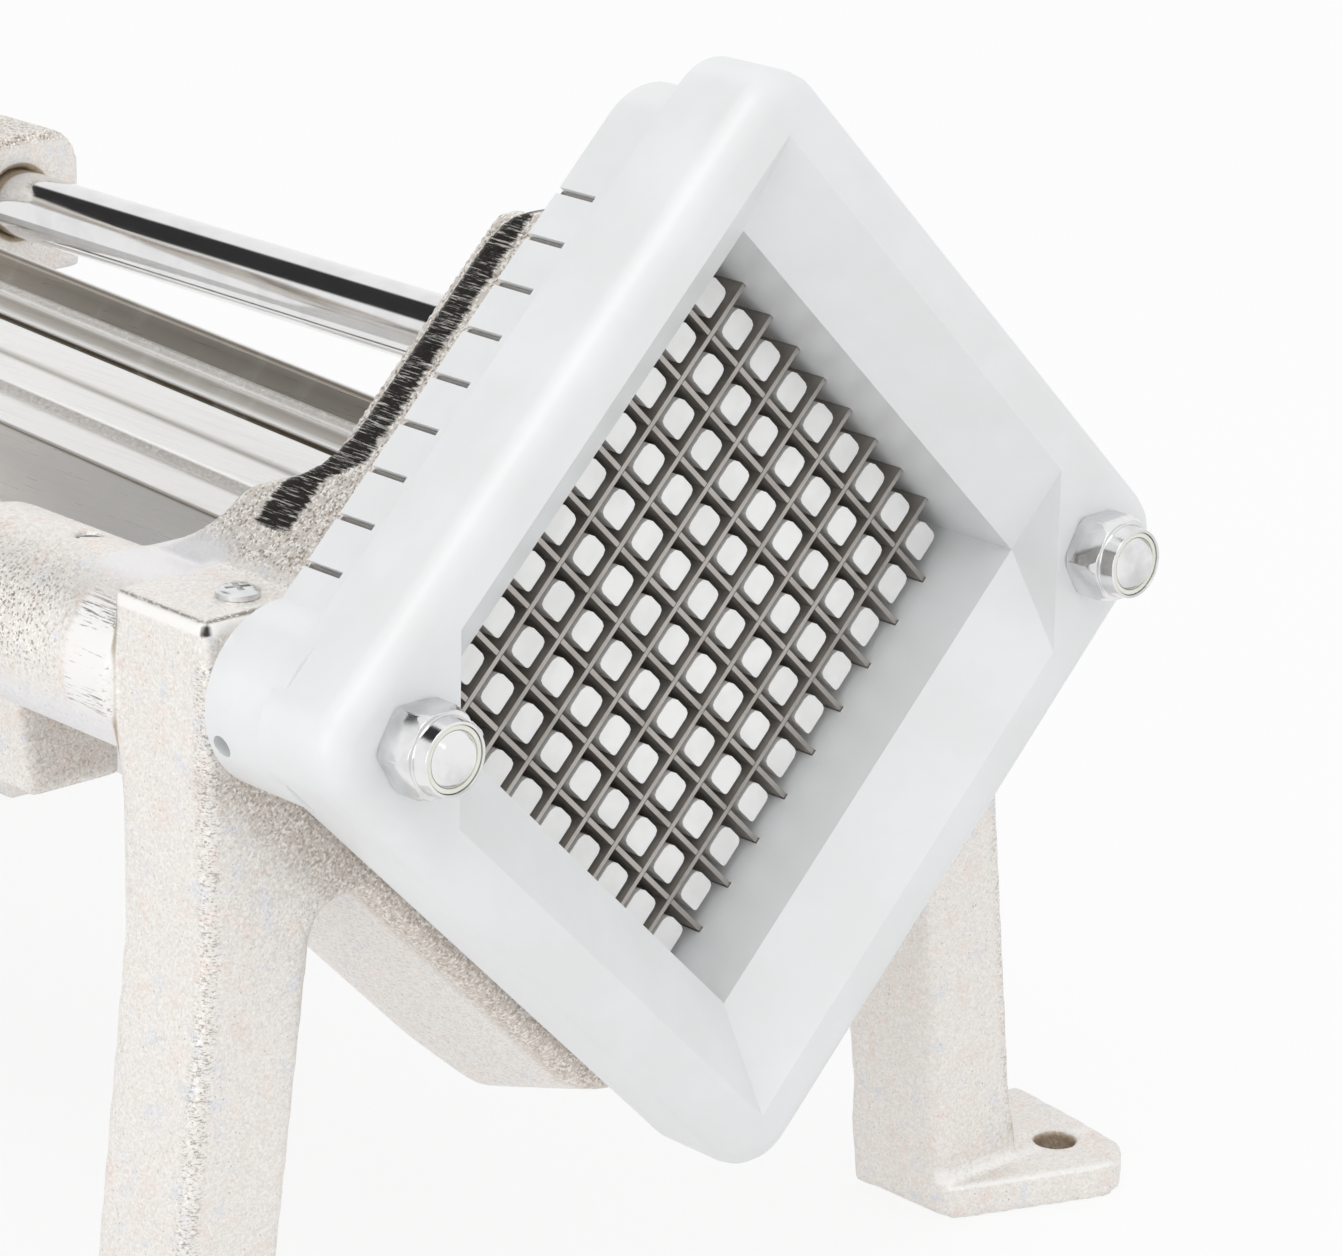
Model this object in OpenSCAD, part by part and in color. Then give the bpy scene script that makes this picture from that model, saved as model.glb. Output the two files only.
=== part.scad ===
// Horizontal french fry cutter: a cast frame carries a V trough, a blade frame set on its corner,
// and two guide rods.  A lever at the back drives a crosshead with a block of fingers through the blades.
// Millimetres.  The origin is on the bench, in the middle of the four foot holes.
// X runs across, Y runs back from the blades, Z is up.  Rest pose: lever down, fingers through the blades.

/* [Cut] */
// Width of one fry, blade to blade
cut_pitch = 9.525; // [7:0.005:11]
// Number of fries along each side of the diamond
cut_count = 10; // [8:1:11]

/* [Blades] */
// Thickness of a blade
blade_t = 0.9; // [0.6:0.1:1.4]
// Width of a blade, front edge to back edge
blade_w = 8.7; // [6:0.1:12]
// Side play of a blade in its slot, each side
blade_play = 0.15; // [0.1:0.05:0.3]

/* [Blade frame] */
// Gap from the outermost fry to the wall of the opening
opening_margin = 1.2; // [1:0.1:3]
// Wall between the opening and the outside of the neck
neck_wall = 18.9; // [14:0.1:22]
// How far the rim stands out past the neck
rim_step = 4.1; // [2:0.1:6]
// Depth of the neck, front to back
neck_depth = 16; // [12:0.5:22]
// Depth of the rim, front to back
rim_depth = 17; // [13:0.5:22]
// Corner radius of the neck, seen from the front
neck_corner_r = 13.5; // [6:0.5:16]
// Corner radius of the rim, seen from the front
rim_corner_r = 11; // [7:0.5:16]
// Rounding of the rim's front edge
rim_edge_r = 5; // [2:0.5:6]
// Depth from the rim's face down to the edge of the opening
funnel_depth = 10.2; // [6:0.2:12]
// Width of the bevel that runs into the opening
funnel_run = 12.7; // [8:0.1:14]
// Radius of the bosses that take the studs
stud_boss_r = 16; // [14:0.5:18]

/* [Studs and nuts] */
// How far a stud lies inside the line of its rod
stud_inset = 0.2; // [0:0.1:3]
// Diameter of a stud
stud_d = 9.5; // [8:0.5:12]
// Clearance of the stud hole, on the diameter
stud_play = 0.6; // [0.4:0.1:1.2]
// How far a stud stands out past its nut
stud_proud = 0.5; // [0.2:0.1:4]
// Chamfer on the end of a stud
stud_chamfer = 0.9; // [0.2:0.1:1.5]
// Depth of a stud in the front casting
stud_depth = 10; // [8:0.5:12]
// Diameter of the screws that lock the studs
lock_screw_d = 4; // [3:0.5:5]
// Width of a lock nut across its flats
nut_af = 14.3; // [13:0.1:19]
// Height of a lock nut
nut_h = 10; // [8:0.5:13]

// Thickness of the nylon ring in a lock nut
nut_ring_t = 0.95; // [0.6:0.05:1.3]

/* [Guide rods] */
// Diameter of a guide rod
rod_d = 15; // [12:0.1:16]
// Distance between the two guide rods
rod_span = 160; // [156:0.5:166]
// Height of the guide rods over the middle of the blades
rod_lift = 3.3; // [1:0.1:6]
// Depth of the front end of the rod from the front face of the casting
rod_front_gap = 12; // [12:0.5:16]
// Play of the rod in the bushings, on the diameter
slide_play = 0.1; // [0.04:0.02:0.2]

/* [Front casting] */
// Height of the middle of the blades over the bench
axis_h = 144.5; // [140:0.5:170]
// Thickness of the front cradle round the opening
cradle_t = 14.5; // [12:0.5:20]
// Depth of the lower part of the front cradle
cradle_depth = 50; // [34:0.5:56]
// Wall of the cradle's arms beside the opening
arm_wall = 13; // [9:0.5:14]
// Wall of the cradle under the trough, at the front
keel_wall = 19; // [14:0.5:22]
// Draft of the cradle's underside, front to back
keel_draft = 3.8; // [0:0.2:4]
// Corner radius at the bottom of the cradle
keel_r = 22; // [16:1:30]
// Height over the blade axis at which the cradle's arms end
arm_top = 69; // [50:1:72]
// Corner radius at the arms' upper back edge
arm_corner_r = 6; // [2:0.5:8]
// Height of the leg block's top over the blade axis
block_top = 14.5; // [14:0.5:20]
// Depth of a leg, front to back
leg_depth = 24.5; // [22:0.5:32]
// Distance of the front face of the legs behind the blade frame
leg_inset = 1.5; // [0:0.5:4]
// From the middle of a rod to the outside of its leg block
leg_side = 14.5; // [12:0.5:18]
// How far a leg leans out from its block to the bench
leg_splay = 11.5; // [4:0.1:14]
// Width of a leg block
leg_w_top = 25.4; // [22:0.2:30]
// Width of a leg at the bench
leg_w_foot = 21.4; // [16:0.2:24]
// Outer radius of the tube that holds a rod's front end
rod_tube_r = 16.5; // [15:0.5:18]
// Drop of the tube's middle below the rod's
rod_tube_drop = 5.8; // [3:0.1:6]
// Length of that tube behind the leg
rod_tube_l = 53; // [30:1:60]

/* [Feet] */
// Distance between the foot holes across the machine
foot_span_x = 234; // [228:1:250]
// Distance between the foot holes along the machine
foot_span_y = 327; // [320:1:340]
// Diameter of a foot hole
foot_hole_d = 8; // [5:0.5:10]
// Thickness of a foot
foot_t = 7; // [5:0.5:12]
// Corner radius of a foot, at its tip
foot_r = 10; // [7:0.5:12]
// From a foot hole to the side of the foot
foot_side = 14; // [12:0.5:18]

/* [Rear casting] */
// Gap from the blade frame's back face to the rear rod bosses
rear_gap = 290; // [280:1:300]
// Height of the rear rod bosses over the blade axis
rear_boss_top = 18.5; // [16:0.5:24]
// Corner radius of the rear rod bosses
rear_boss_r = 8; // [4:0.5:9]
// Length of the bosses in front of the rear legs
rear_boss_l = 16; // [12:0.5:24]
// Thickness of the rear cradle
rear_cradle_t = 12; // [8:0.5:12]
// Wall of the rear cradle under the trough
rear_keel_wall = 12; // [8:0.5:14]
// Thickness of an ear that holds the lever's shaft
ear_t = 12; // [8:0.5:12]

/* [Trough] */
// Gap from the side of the finger block to a trough wall
trough_gap = 3; // [2.4:0.1:4]
// Thickness of a trough wall
trough_t = 4; // [3:0.2:5]
// Height of the trough's lip along its wall, at half length
lip_reach = 41.2; // [30:0.2:44]
// Pitch of the lip and ribs along the walls, in degrees
rib_pitch = 2.6; // [0:0.1:3]
// Height of the ribs over the wall
rib_h = 1.3; // [0.8:0.1:1.6]
// Distance of a trough screw from the middle of its wall
trough_screw_off = 22; // [16:0.5:30]
// Diameter of a trough screw
trough_screw_d = 5; // [4:0.5:6]

/* [Pusher] */
// Side of one finger
finger_w = 5.9; // [4:0.1:8]
// Length of a finger
finger_l = 22; // [16:0.5:28]
// Distance of the finger tips behind the front edges of the blades
tip_back = 0.7; // [0:0.1:3]
// Thickness of the plate that carries the fingers
block_t = 12; // [8:0.5:16]
// Thickness of the crosshead's plate behind the finger block
plate_t = 10; // [6:0.5:14]
// Diameter of the screws that hold the finger block
finger_screw_d = 5; // [4:0.5:6]
// Corner radius of the finger block and its plate
block_r = 6; // [3:0.5:9]
// Gap from the front tubes to the bearing housings at rest
stop_gap = 13; // [8:0.5:16]
// Length of a bearing housing
housing_l = 26; // [24:0.5:32]
// Outer radius of a bearing housing
housing_r = 13; // [11:0.5:13.5]
// Wall of a bronze bushing
bushing_wall = 1.5; // [1:0.1:2.5]

/* [Push bars] */
// Drop of the push bars below the blade axis
bar_drop = 50; // [46:0.5:54]
// Height of a push bar
bar_h = 22; // [18:0.5:26]
// Thickness of a push bar
bar_t = 5; // [4:0.5:6]
// Half distance between the push bars, to their inner faces
bar_in = 65.5; // [64:0.5:66]

/* [Lever] */
// Distance from the lever's shaft to its rollers
crank_r = 130; // [120:1:140]
// Swing of the lever
lever_swing = 70; // [50:1:74]
// Distance of the lever's shaft behind the blade frame's back face
shaft_back = 398; // [396:1:420]
// Diameter of the lever's shaft
shaft_d = 16; // [12:0.5:20]
// Thickness of a washer on the shaft
washer_t = 2.5; // [1.5:0.5:4]
// How far a washer stands out past the shaft
washer_rim = 7; // [4:0.5:10]
// Diameter of a roller
roller_d = 16; // [14:0.5:20]
// Side play of a roller in its slot at the ends of the stroke
roller_play = 1.7; // [1.5:0.1:3]
// Angle of the handle over the bench when it is down
handle_angle = 35; // [20:1:50]
// Length of the handle from the shaft to its end
handle_l = 380; // [300:5:450]
// Diameter of the handle bar
handle_d = 22; // [16:0.5:28]
// Diameter of the grip
grip_d = 32; // [26:0.5:40]
// Length of the grip
grip_l = 125; // [90:5:150]

/* [Hidden] */
$fn = 64;
eps = 0.01;

// Blade frame, worked out from the cut
cut_half = cut_count * cut_pitch / 2;
wall_half = cut_half + opening_margin;
slot_front = blade_w + 0.2;
neck_half = wall_half + neck_wall;
rim_half = neck_half + rim_step;
frame_depth = neck_depth + rim_depth;
funnel_half = wall_half + funnel_run;
pad_half = wall_half * sqrt(2) + 1.1;

// Main stations across
rod_x = rod_span / 2;
stud_x = rod_x - stud_inset;
leg_out_top = rod_x + leg_side;
leg_out_foot = leg_out_top + leg_splay;
foot_reach = foot_span_x / 2 + foot_side;
keel_half = rod_x - 8;
leg_bend_z = -47;
leg_knee_z = -45;
web_top_x = rod_x - 22;
web_low = [30, -15];

// Main stations along Y, counted back from the blade frame's back face
seat_y = -(foot_span_y / 2 + 2.5);
foot_front = 2.5;
rear_leg_front = rear_gap + rear_boss_l;
rear_leg_back = rear_leg_front + leg_depth + leg_inset;

// Side view of the gusset behind an arm, from its top down to the tube
shoulder_h = 44;
shoulder_line = [[14.5, 37], [15.7, 33], [17.4, 30.4], [20.4, 28.3], [24.4, 26.4], [28.6, 25.2], [30.4, 23.6],
    [31.6, 20.6], [34, 17.6], [38, 15], [44, 13], [44, 0]];

// Rods and trough
tube_end = leg_inset + leg_depth + rod_tube_l;
rear_pin_y = rear_leg_front + 12;
rear_pin_d = 5;
trough_screw_front = 26;
trough_screw_l = 16;
screw_sink = 1.2;
trough_screw_back = rear_gap + rear_cradle_t / 2;
rod_r = rod_d / 2;
lock_screw = [stud_x + 1.7, 9.3];
set_screw = [rod_x - 2, tube_end - 25];
set_screw_d = 4.5;
bushing_r = rod_r + bushing_wall;
finger_half = cut_half - (cut_pitch - finger_w) / 2;
trough_half = finger_half + trough_gap;
trough_out = trough_half + trough_t;
trough_front = cradle_t + 0.5;
trough_back = rear_gap + rear_cradle_t;
cradle_half = trough_half + 0.3;
seat_half = trough_out + 0.2;
mid_y = 200;

// Carriage
tip_y = tip_back - slot_front;
block_y = tip_y + finger_l;
plate_y = block_y + block_t;
finger_screw_r = 36;
finger_screw_at = [[1, 0], [-1, 0], [0, 1], [0, -1]] * finger_screw_r;
housing_y = tube_end + stop_gap;
saddle_top = -13;
saddle_low = -29;
ram_w = 26;
arm_high = 2.4;
bracket_top = -4.4;
saddle_bend = [30, 44, 56];
saddle_mid = -6;
bracket_y = tube_end + 1;
bracket_in = trough_out - 0.3;
bracket_out = bar_in + bar_t + 1.5;
bracket_low = -43;
bar_y0 = bracket_y + 20;
bar_lug = 18;
bolt_y = bar_y0 + bar_lug / 2;
bolt_d = 6;
head_wall = 8.6;
bolt_z = [-22, -36];
bar_top = 14;

// Lever: the rollers swing on an arc of crank_r, and the slide follows the angle at a steady ratio
half_swing = lever_swing / 2;
push_ratio = crank_r * cos(lever_swing / 4);
travel = push_ratio * lever_swing * PI / 180;
lip_rise = tan(rib_pitch);
lip_end = lip_reach + lip_rise * (housing_y + housing_l + travel - mid_y);
arm_low = (lip_end - trough_half + rib_h) / sqrt(2) + 0.5;
slot_wide = roller_d + 2 * roller_play;
arc_drop = crank_r * (1 - cos(half_swing));
slot_tall = arc_drop + roller_d + 2;
shaft_z = crank_r - arc_drop / 2 - bar_drop;
yoke_y = shaft_back - travel / 2;
arm_in = bar_in - 9.5;
arm_t = 6;
pin_over = 3;
rear_leg_top = -9;
rear_leg_w = leg_out_top - (bar_in + bar_t + pin_over + 4);
ear_in = arm_in + arm_t + 6;
pin_r = 5;
pin_head_r = pin_r + 2.5;
socket_end = 62;
washer_x = ear_in + ear_t + 0.02;
shaft_nut_x = washer_x + washer_t + 0.05;
shaft_nut_h = 10;
nut_tip_r = stud_d / 2 + nut_ring_t + 0.55;
shaft_end = shaft_nut_x + shaft_nut_h + 2.4;

// ---- shared shapes ----

// Moves local coordinates, counted from the blades' middle and the frame's back face, into place
module at_axis() {
    translate([0, seat_y, axis_h]) children();
}

// Extrudes a front-view outline from y0 back to y1
module along_y(y0, y1) {
    translate([0, y1, 0]) rotate([90, 0, 0]) linear_extrude(y1 - y0) children();
}

// A round bar along Y
module bar_y(x, z, r, y0, y1) {
    translate([x, y1, z]) rotate([90, 0, 0]) cylinder(r = r, h = y1 - y0);
}

// A round bar along X, on both sides of the machine
module bar_x(y, z, r, x0, x1) {
    translate([x0, y, z]) rotate([0, 90, 0]) cylinder(r = r, h = x1 - x0);
}

// Repeats a right-hand shape on the left
module both_sides() {
    children();
    mirror([1, 0, 0]) children();
}

// A square outline with round corners
module round_square(half, r) {
    square([2 * half, 2 * (half - r)], center = true);
    square([2 * (half - r), 2 * half], center = true);
    for (sx = [-1, 1], sy = [-1, 1]) translate([sx, sy] * (half - r)) circle(r);
}

// The same, standing on its corner
module diamond(half, r) {
    rotate(45) round_square(half, r);
}

// Front-view turn: the children's X runs up to the right and their Y up to the left
module on_corner() {
    rotate([0, -45, 0]) children();
}

// ---- blade frame ----

// Rim with a rounded front edge, drawn through slabs that follow a quarter circle
module rim() {
    front = -frame_depth;
    hull() for (k = [0:4]) {
        a = 22.5 * k;
        inset = rim_edge_r * (1 - cos(a));
        y0 = front + rim_edge_r * (1 - sin(a));
        along_y(y0, k == 0 ? 1 - neck_depth : y0 + 0.2)
            diamond(rim_half - inset, rim_corner_r - inset, $fn = 48);
    }
}

// A wedge along one direction: half width w0 at the front, w1 at the bottom of the funnel
module funnel_wedge(w0, w1, reach) {
    linear_extrude(2 * reach, center = true)
        polygon([[-w1, -frame_depth + funnel_depth], [-w0, -frame_depth], [-w0, -frame_depth - 1],
            [w0, -frame_depth - 1], [w0, -frame_depth], [w1, -frame_depth + funnel_depth]]);
}

module blade_slots(t, y0, y1) {
    for (i = [1:cut_count - 1]) on_corner() for (turn = [0, 90]) rotate([0, turn, 0])
        translate([i * cut_pitch - cut_half - t / 2, y0, -neck_half - 1])
            cube([t, y1 - y0, 2 * neck_half + 2]);
}

module blade_frame() color([0.88, 0.89, 0.90]) at_axis() difference() {
    union() {
        along_y(-neck_depth, 0) diamond(neck_half, neck_corner_r);
        rim();
        both_sides() bar_y(stud_x, 0, stud_boss_r, -neck_depth - 2, 0);
    }
    along_y(-frame_depth + funnel_depth - eps, 1) rotate(45) square(2 * wall_half, center = true);
    intersection() {
        on_corner() funnel_wedge(funnel_half, wall_half, 2 * rim_half);
        on_corner() rotate([0, 90, 0]) funnel_wedge(funnel_half, wall_half, 2 * rim_half);
        funnel_wedge(pad_half, wall_half * sqrt(2), 2 * rim_half);
    }
    both_sides() bar_y(stud_x, 0, (stud_d + stud_play) / 2, -frame_depth - 1, 1);
    blade_slots(blade_t + 2 * blade_play, -slot_front, 1);
    // a blind hole in the side of the left boss
    translate([-stud_x, -3.2, 0]) rotate([0, -109, 0])
        translate([0, 0, stud_boss_r - 5]) cylinder(d = 4, h = 8);
}

// One grid of blades; the notches sit in the front or in the back half of each blade
module blade_set(turn, notch0, notch1) {
    on_corner() rotate([0, turn, 0]) for (i = [1:cut_count - 1])
        translate([i * cut_pitch - cut_half - blade_t / 2, -blade_w, -neck_half + 1]) difference() {
            cube([blade_t, blade_w, 2 * neck_half - 2]);
            for (j = [1:cut_count - 1])
                translate([-1, notch0, neck_half - 1 - cut_half + j * cut_pitch - blade_t / 2 - blade_play])
                    cube([blade_t + 2, notch1 - notch0, blade_t + 2 * blade_play]);
        }
}

module long_blades() color([0.62, 0.61, 0.59]) at_axis() blade_set(90, blade_w / 2 - 0.1, blade_w + 1);

module cross_blades() color([0.58, 0.57, 0.55]) at_axis() blade_set(0, -1, blade_w / 2 + 0.1);

module frame_studs() color([0.75, 0.76, 0.77]) at_axis() both_sides() {
    end = -frame_depth - nut_h - stud_proud;
    bar_y(stud_x, 0, stud_d / 2, end + stud_chamfer, stud_depth);
    translate([stud_x, end + stud_chamfer + eps, 0]) rotate([90, 0, 0])
        cylinder(r1 = stud_d / 2, r2 = stud_d / 2 - stud_chamfer, h = stud_chamfer + eps);
}

// Hexagon with turned ends, standing on the rim's face
module lock_nuts() color([0.72, 0.73, 0.74]) at_axis() both_sides() translate([stud_x, -frame_depth, 0])
    rotate([90, 0, 0]) difference() {
        union() {
            intersection() {
                cylinder(d = nut_af / cos(30), h = nut_h * 0.72, $fn = 6);
                cylinder(r1 = nut_af * 0.52, r2 = nut_af * 0.66, h = nut_h * 0.2);
            }
            intersection() {
                translate([0, 0, nut_h * 0.2 - eps])
                    cylinder(d = nut_af / cos(30), h = nut_h * 0.52, $fn = 6);
                translate([0, 0, nut_h * 0.2 - eps])
                    cylinder(r1 = nut_af * 0.66, r2 = nut_af * 0.5, h = nut_h * 0.6);
            }
            translate([0, 0, nut_h * 0.7]) cylinder(r1 = nut_af * 0.47, r2 = nut_tip_r, h = nut_h * 0.3);
        }
        translate([0, 0, -1]) cylinder(d = stud_d + 0.1, h = nut_h + 2);
        translate([0, 0, nut_h * 0.75]) cylinder(r = stud_d / 2 + 0.05 + nut_ring_t, h = nut_h);
    }

module lock_nut_rings() color([0.90, 0.89, 0.82]) at_axis() both_sides()
    translate([stud_x, -frame_depth - nut_h * 0.75, 0]) rotate([90, 0, 0]) difference() {
        cylinder(r = stud_d / 2 + nut_ring_t, h = nut_h * 0.22);
        translate([0, 0, -1]) cylinder(d = stud_d + 0.1, h = nut_h);
    }

// ---- castings ----

// Front view of one leg, right side
module leg_outline(top, w_top) {
    foot = -axis_h + eps;
    polygon([[leg_out_top, top], [leg_out_top, leg_bend_z], [leg_out_foot, foot],
        [leg_out_foot - leg_w_foot, foot], [leg_out_top - w_top + 2.5, leg_knee_z],
        [leg_out_top - w_top, top]]);
}

// Top view of one foot: it reaches forward and out past the leg, with a round tip
module foot_outline() {
    inner = leg_out_foot - leg_w_foot;
    back = leg_inset + leg_depth;
    tip = [foot_span_x / 2 - 0.5, foot_front - 4.8];
    difference() {
        polygon(concat([[inner, back], [inner + 0.6, leg_inset - 2]],
            [for (a = [-118:12:2]) tip + foot_r * [cos(a), sin(a)]],
            [[foot_reach - 2.7, 7], [foot_reach, back]]));
        translate([foot_span_x / 2, foot_front]) circle(d = foot_hole_d);
    }
}

// One leg with its foot, right side; the front face of the leg is at leg_inset
module leg(top, w_top) {
    along_y(leg_inset, leg_inset + leg_depth) leg_outline(top, w_top);
    translate([0, 0, -axis_h]) linear_extrude(foot_t) foot_outline();
}

// The web between a leg and the cradle, with its arch
module leg_web() {
    r = 8;
    inner = leg_out_top - leg_w_top + 2.8;
    hub = [inner - r + 0.4, inner - r + 0.4 - (seat_half + keel_wall + r - 0.4) * sqrt(2)];
    along_y(leg_inset, leg_inset + leg_depth * 0.62) difference() {
        polygon([[inner + 14, hub.y], hub, [hub.x - r, hub.y + r], web_low, [web_top_x, block_top - 1],
            [inner + 14, block_top - 1]]);
        translate(hub) circle(r);
        diamond(cradle_half, 2);
    }
}

// The gusset that runs from an arm's back face down to the tube
module shoulder() {
    intersection() {
        along_y(0, tube_end) difference() {
            diamond(cradle_half + arm_wall, 6);
            diamond(cradle_half, 0.5);
        }
        translate([web_top_x - 18, 0, 0]) rotate([90, 0, 90]) linear_extrude(rod_x)
            polygon(concat([[0, 0], [0, shoulder_h], [cradle_t, shoulder_h]], shoulder_line));
    }
}

module front_frame() color([0.80, 0.77, 0.74]) at_axis() difference() {
    union() {
        intersection() {
            along_y(0, cradle_t) diamond(cradle_half + arm_wall, 6);
            translate([-rod_span, 0, 0]) rotate([90, 0, 90]) linear_extrude(2 * rod_span) arm_profile();
        }
        keel();
        both_sides() {
            leg(block_top, leg_w_top);
            leg_web();
            shoulder();
            bar_y(rod_x, rod_lift - rod_tube_drop, rod_tube_r, leg_inset + leg_depth - 0.5, tube_end);
            along_y(0, leg_inset + 1) translate([stud_x, 0]) circle(stud_boss_r - 2);
        }
    }
    along_y(-1, tube_end + 1) diamond(cradle_half, 0.5);
    along_y(cradle_t + 0.4, cradle_depth + 1) diamond(seat_half, 0.5);
    both_sides() {
        bar_y(stud_x, 0, stud_d / 2 + 0.05, -1, stud_depth + 0.5);
        bar_y(rod_x, rod_lift, rod_r + 0.05, rod_front_gap - 0.5, tube_end + 1);
        translate([lock_screw.x, lock_screw.y, stud_d / 2 - 1]) cylinder(d = lock_screw_d + 0.1, h = 30);
        translate([set_screw.x, set_screw.y, rod_lift]) cylinder(d = set_screw_d + 0.1, h = 40);
        trough_screw_holes(trough_screw_front);
    }
    wall_room(lip_reach + lip_rise * (tube_end + 1 - mid_y), tube_end + 1);
}

// Side view of the cradle's arms: their upper back corner is round
module arm_profile() {
    r = arm_corner_r;
    translate([-1, -rod_span]) square([cradle_t + 2, rod_span + arm_top - r]);
    translate([-1, -rod_span]) square([cradle_t + 1 - r, rod_span + arm_top]);
    translate([cradle_t - r, arm_top - r]) circle(r);
}

// The cradle's lower half: it takes the trough's front end and carries it between the legs
module keel() {
    front = seat_half + keel_wall;
    intersection() {
        hull() {
            along_y(leg_inset, leg_inset + 1) diamond(front, keel_r, $fn = 48);
            along_y(cradle_depth - 11, cradle_depth - 10) diamond(front + keel_draft, 5, $fn = 48);
            along_y(cradle_depth - 1, cradle_depth) diamond(front + keel_draft - 0.3, keel_r, $fn = 48);
        }
        translate([-keel_half, 0, -rod_span]) cube([2 * keel_half, cradle_depth + 1, rod_span - 6]);
    }
}

// The rear casting: the front one's legs turned round, rod bosses, a shallow cradle and two ears
module rear_frame() color([0.80, 0.77, 0.74]) at_axis() difference() {
    union() {
        translate([0, rear_leg_back, 0]) mirror([0, 1, 0]) both_sides() leg(rear_leg_top, rear_leg_w);
        along_y(rear_gap, rear_gap + rear_cradle_t) intersection() {
            diamond(seat_half + rear_keel_wall, 16);
            translate([-rod_span, -rod_span]) square([2 * rod_span, rod_span - 3]);
        }
        both_sides() {
            along_y(rear_gap, rear_leg_back - leg_inset) rear_boss_outline();
            ear();
        }
    }
    along_y(rear_gap - 1, rear_gap + rear_cradle_t + 1) diamond(seat_half, 0.5);
    both_sides() {
        bar_y(rod_x, rod_lift, rod_r + 0.05, rear_gap - 1, rear_leg_back - leg_inset - 6);
        bar_y(rod_x, rod_lift, rod_r + 1.2, rear_gap - 1, rear_gap + 1);
        bar_x(shaft_back, shaft_z, shaft_d / 2 + 0.03, ear_in - 1, ear_in + ear_t + 1);
        translate([rod_x, rear_pin_y, rod_lift]) cylinder(d = rear_pin_d + 0.05, h = rear_boss_top + 20);
        trough_screw_holes(trough_screw_back);
    }
}

module rear_boss_outline() {
    right = rod_x + 16.5;
    left = rod_x - 16;
    r = rear_boss_r;
    translate([left, -14]) square([right - left, 14 + rear_boss_top - r]);
    translate([left + r, -14]) square([right - left - 2 * r, 14 + rear_boss_top]);
    for (x = [left + r, right - r]) translate([x, rear_boss_top - r]) circle(r);
}

// Side view of an ear, from the rod boss up and back to the lever's shaft
module ear() {
    r = shaft_d / 2 + 10;
    back = rear_leg_back - leg_inset;
    translate([ear_in, 0, 0]) rotate([90, 0, 90]) linear_extrude(ear_t) {
        translate([shaft_back, shaft_z]) circle(r);
        polygon([[back - 26, rear_boss_top - 2], [back, -14], [shaft_back + r * 0.6, shaft_z - r * 0.8],
            [shaft_back - r * 0.6, shaft_z + r * 0.8]]);
    }
}

module guide_rods() color([0.78, 0.78, 0.79]) at_axis() both_sides()
    bar_y(rod_x, rod_lift, rod_r, rod_front_gap, rear_leg_back - leg_inset - 7);

// Screws on the leg blocks that lock the studs, with a cross in a pan head
module stud_lock_screws() color([0.72, 0.74, 0.76]) at_axis() both_sides()
    translate([lock_screw.x, lock_screw.y, block_top]) difference() {
        d = lock_screw_d;
        union() {
            translate([0, 0, stud_d / 2 + 0.6 - block_top]) cylinder(d = d, h = block_top - stud_d / 2);
            cylinder(d = d * 1.9, h = 0.9);
            translate([0, 0, 0.9 - eps]) cylinder(r1 = d * 0.94, r2 = d * 0.66, h = 0.6);
        }
        for (a = [0, 90]) rotate(a + 20) translate([-0.55 * d, -0.14 * d, 0.7]) cube([1.1 * d, 0.28 * d, 3]);
    }

// Grub screws in the tubes that hold the rods' front ends
module rod_set_screws() color([0.40, 0.40, 0.41]) at_axis() both_sides()
    translate([set_screw.x, set_screw.y, rod_lift + rod_r]) difference() {
        cylinder(d = set_screw_d, h = 1.8);
        translate([0, 0, 0.5]) cylinder(d = set_screw_d * 0.57, h = 4, $fn = 6);
    }

module rear_rod_pins() color([0.66, 0.66, 0.67]) at_axis() both_sides()
    translate([rod_x, rear_pin_y, rod_lift + rod_r])
        cylinder(d = rear_pin_d, h = rear_boss_top - rod_lift - rod_r + 0.8);

// ---- trough ----

// Cross-section of a wall: x runs up the wall, y into the trough; bands and ribs step its inner face
module wall_section() {
    band = rib_h * 0.55;
    polygon([[-trough_out - 30, -trough_t], [lip_reach, -trough_t], [lip_reach, band],
        [lip_reach - 0.7, rib_h * 0.8], [lip_reach - 1.4, band * 0.4], [34.2, band * 0.2], [34, rib_h],
        [31.8, rib_h], [31.4, band], [29, band * 1.1], [27.2, band * 1.4], [26.7, 0], [26.2, 0],
        [26, band * 1.3], [20.4, band * 1.3], [19.9, band], [13.8, band], [13.2, rib_h], [11, rib_h],
        [10.6, band], [5.2, band], [4.9, 0], [-trough_out - 30, 0]]);
}

// One wall, laid in its own plane, with lip and ribs pitched down towards the front
module trough_wall(foot) {
    length = trough_back - trough_front;
    intersection() {
        translate([0, mid_y, -trough_half]) rotate([0, 0, -rib_pitch]) rotate([90, 0, 0])
            linear_extrude(2 * length, center = true) wall_section();
        translate([foot, trough_front, -2 * trough_half]) cube([4 * trough_half, length, 4 * trough_half]);
    }
}

module trough_wall_right() color([0.78, 0.77, 0.75]) at_axis() difference() {
    on_corner() trough_wall(-trough_out);
    for (y = [trough_screw_front, trough_screw_back]) trough_screw_holes(y);
}

module trough_wall_left() color([0.78, 0.77, 0.75]) at_axis() difference() {
    mirror([1, 0, 0]) on_corner() trough_wall(-trough_half);
    mirror([1, 0, 0]) for (y = [trough_screw_front, trough_screw_back]) trough_screw_holes(y);
}

// The room that the trough's walls need, up to a given height of their lips and back to y
module wall_room(reach, y) {
    outer = trough_out + 0.2;
    both_sides() on_corner() translate([-outer, trough_front, -outer])
        cube([outer + reach + 0.35, y - trough_front, outer - trough_half + rib_h + 0.15]);
}

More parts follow.
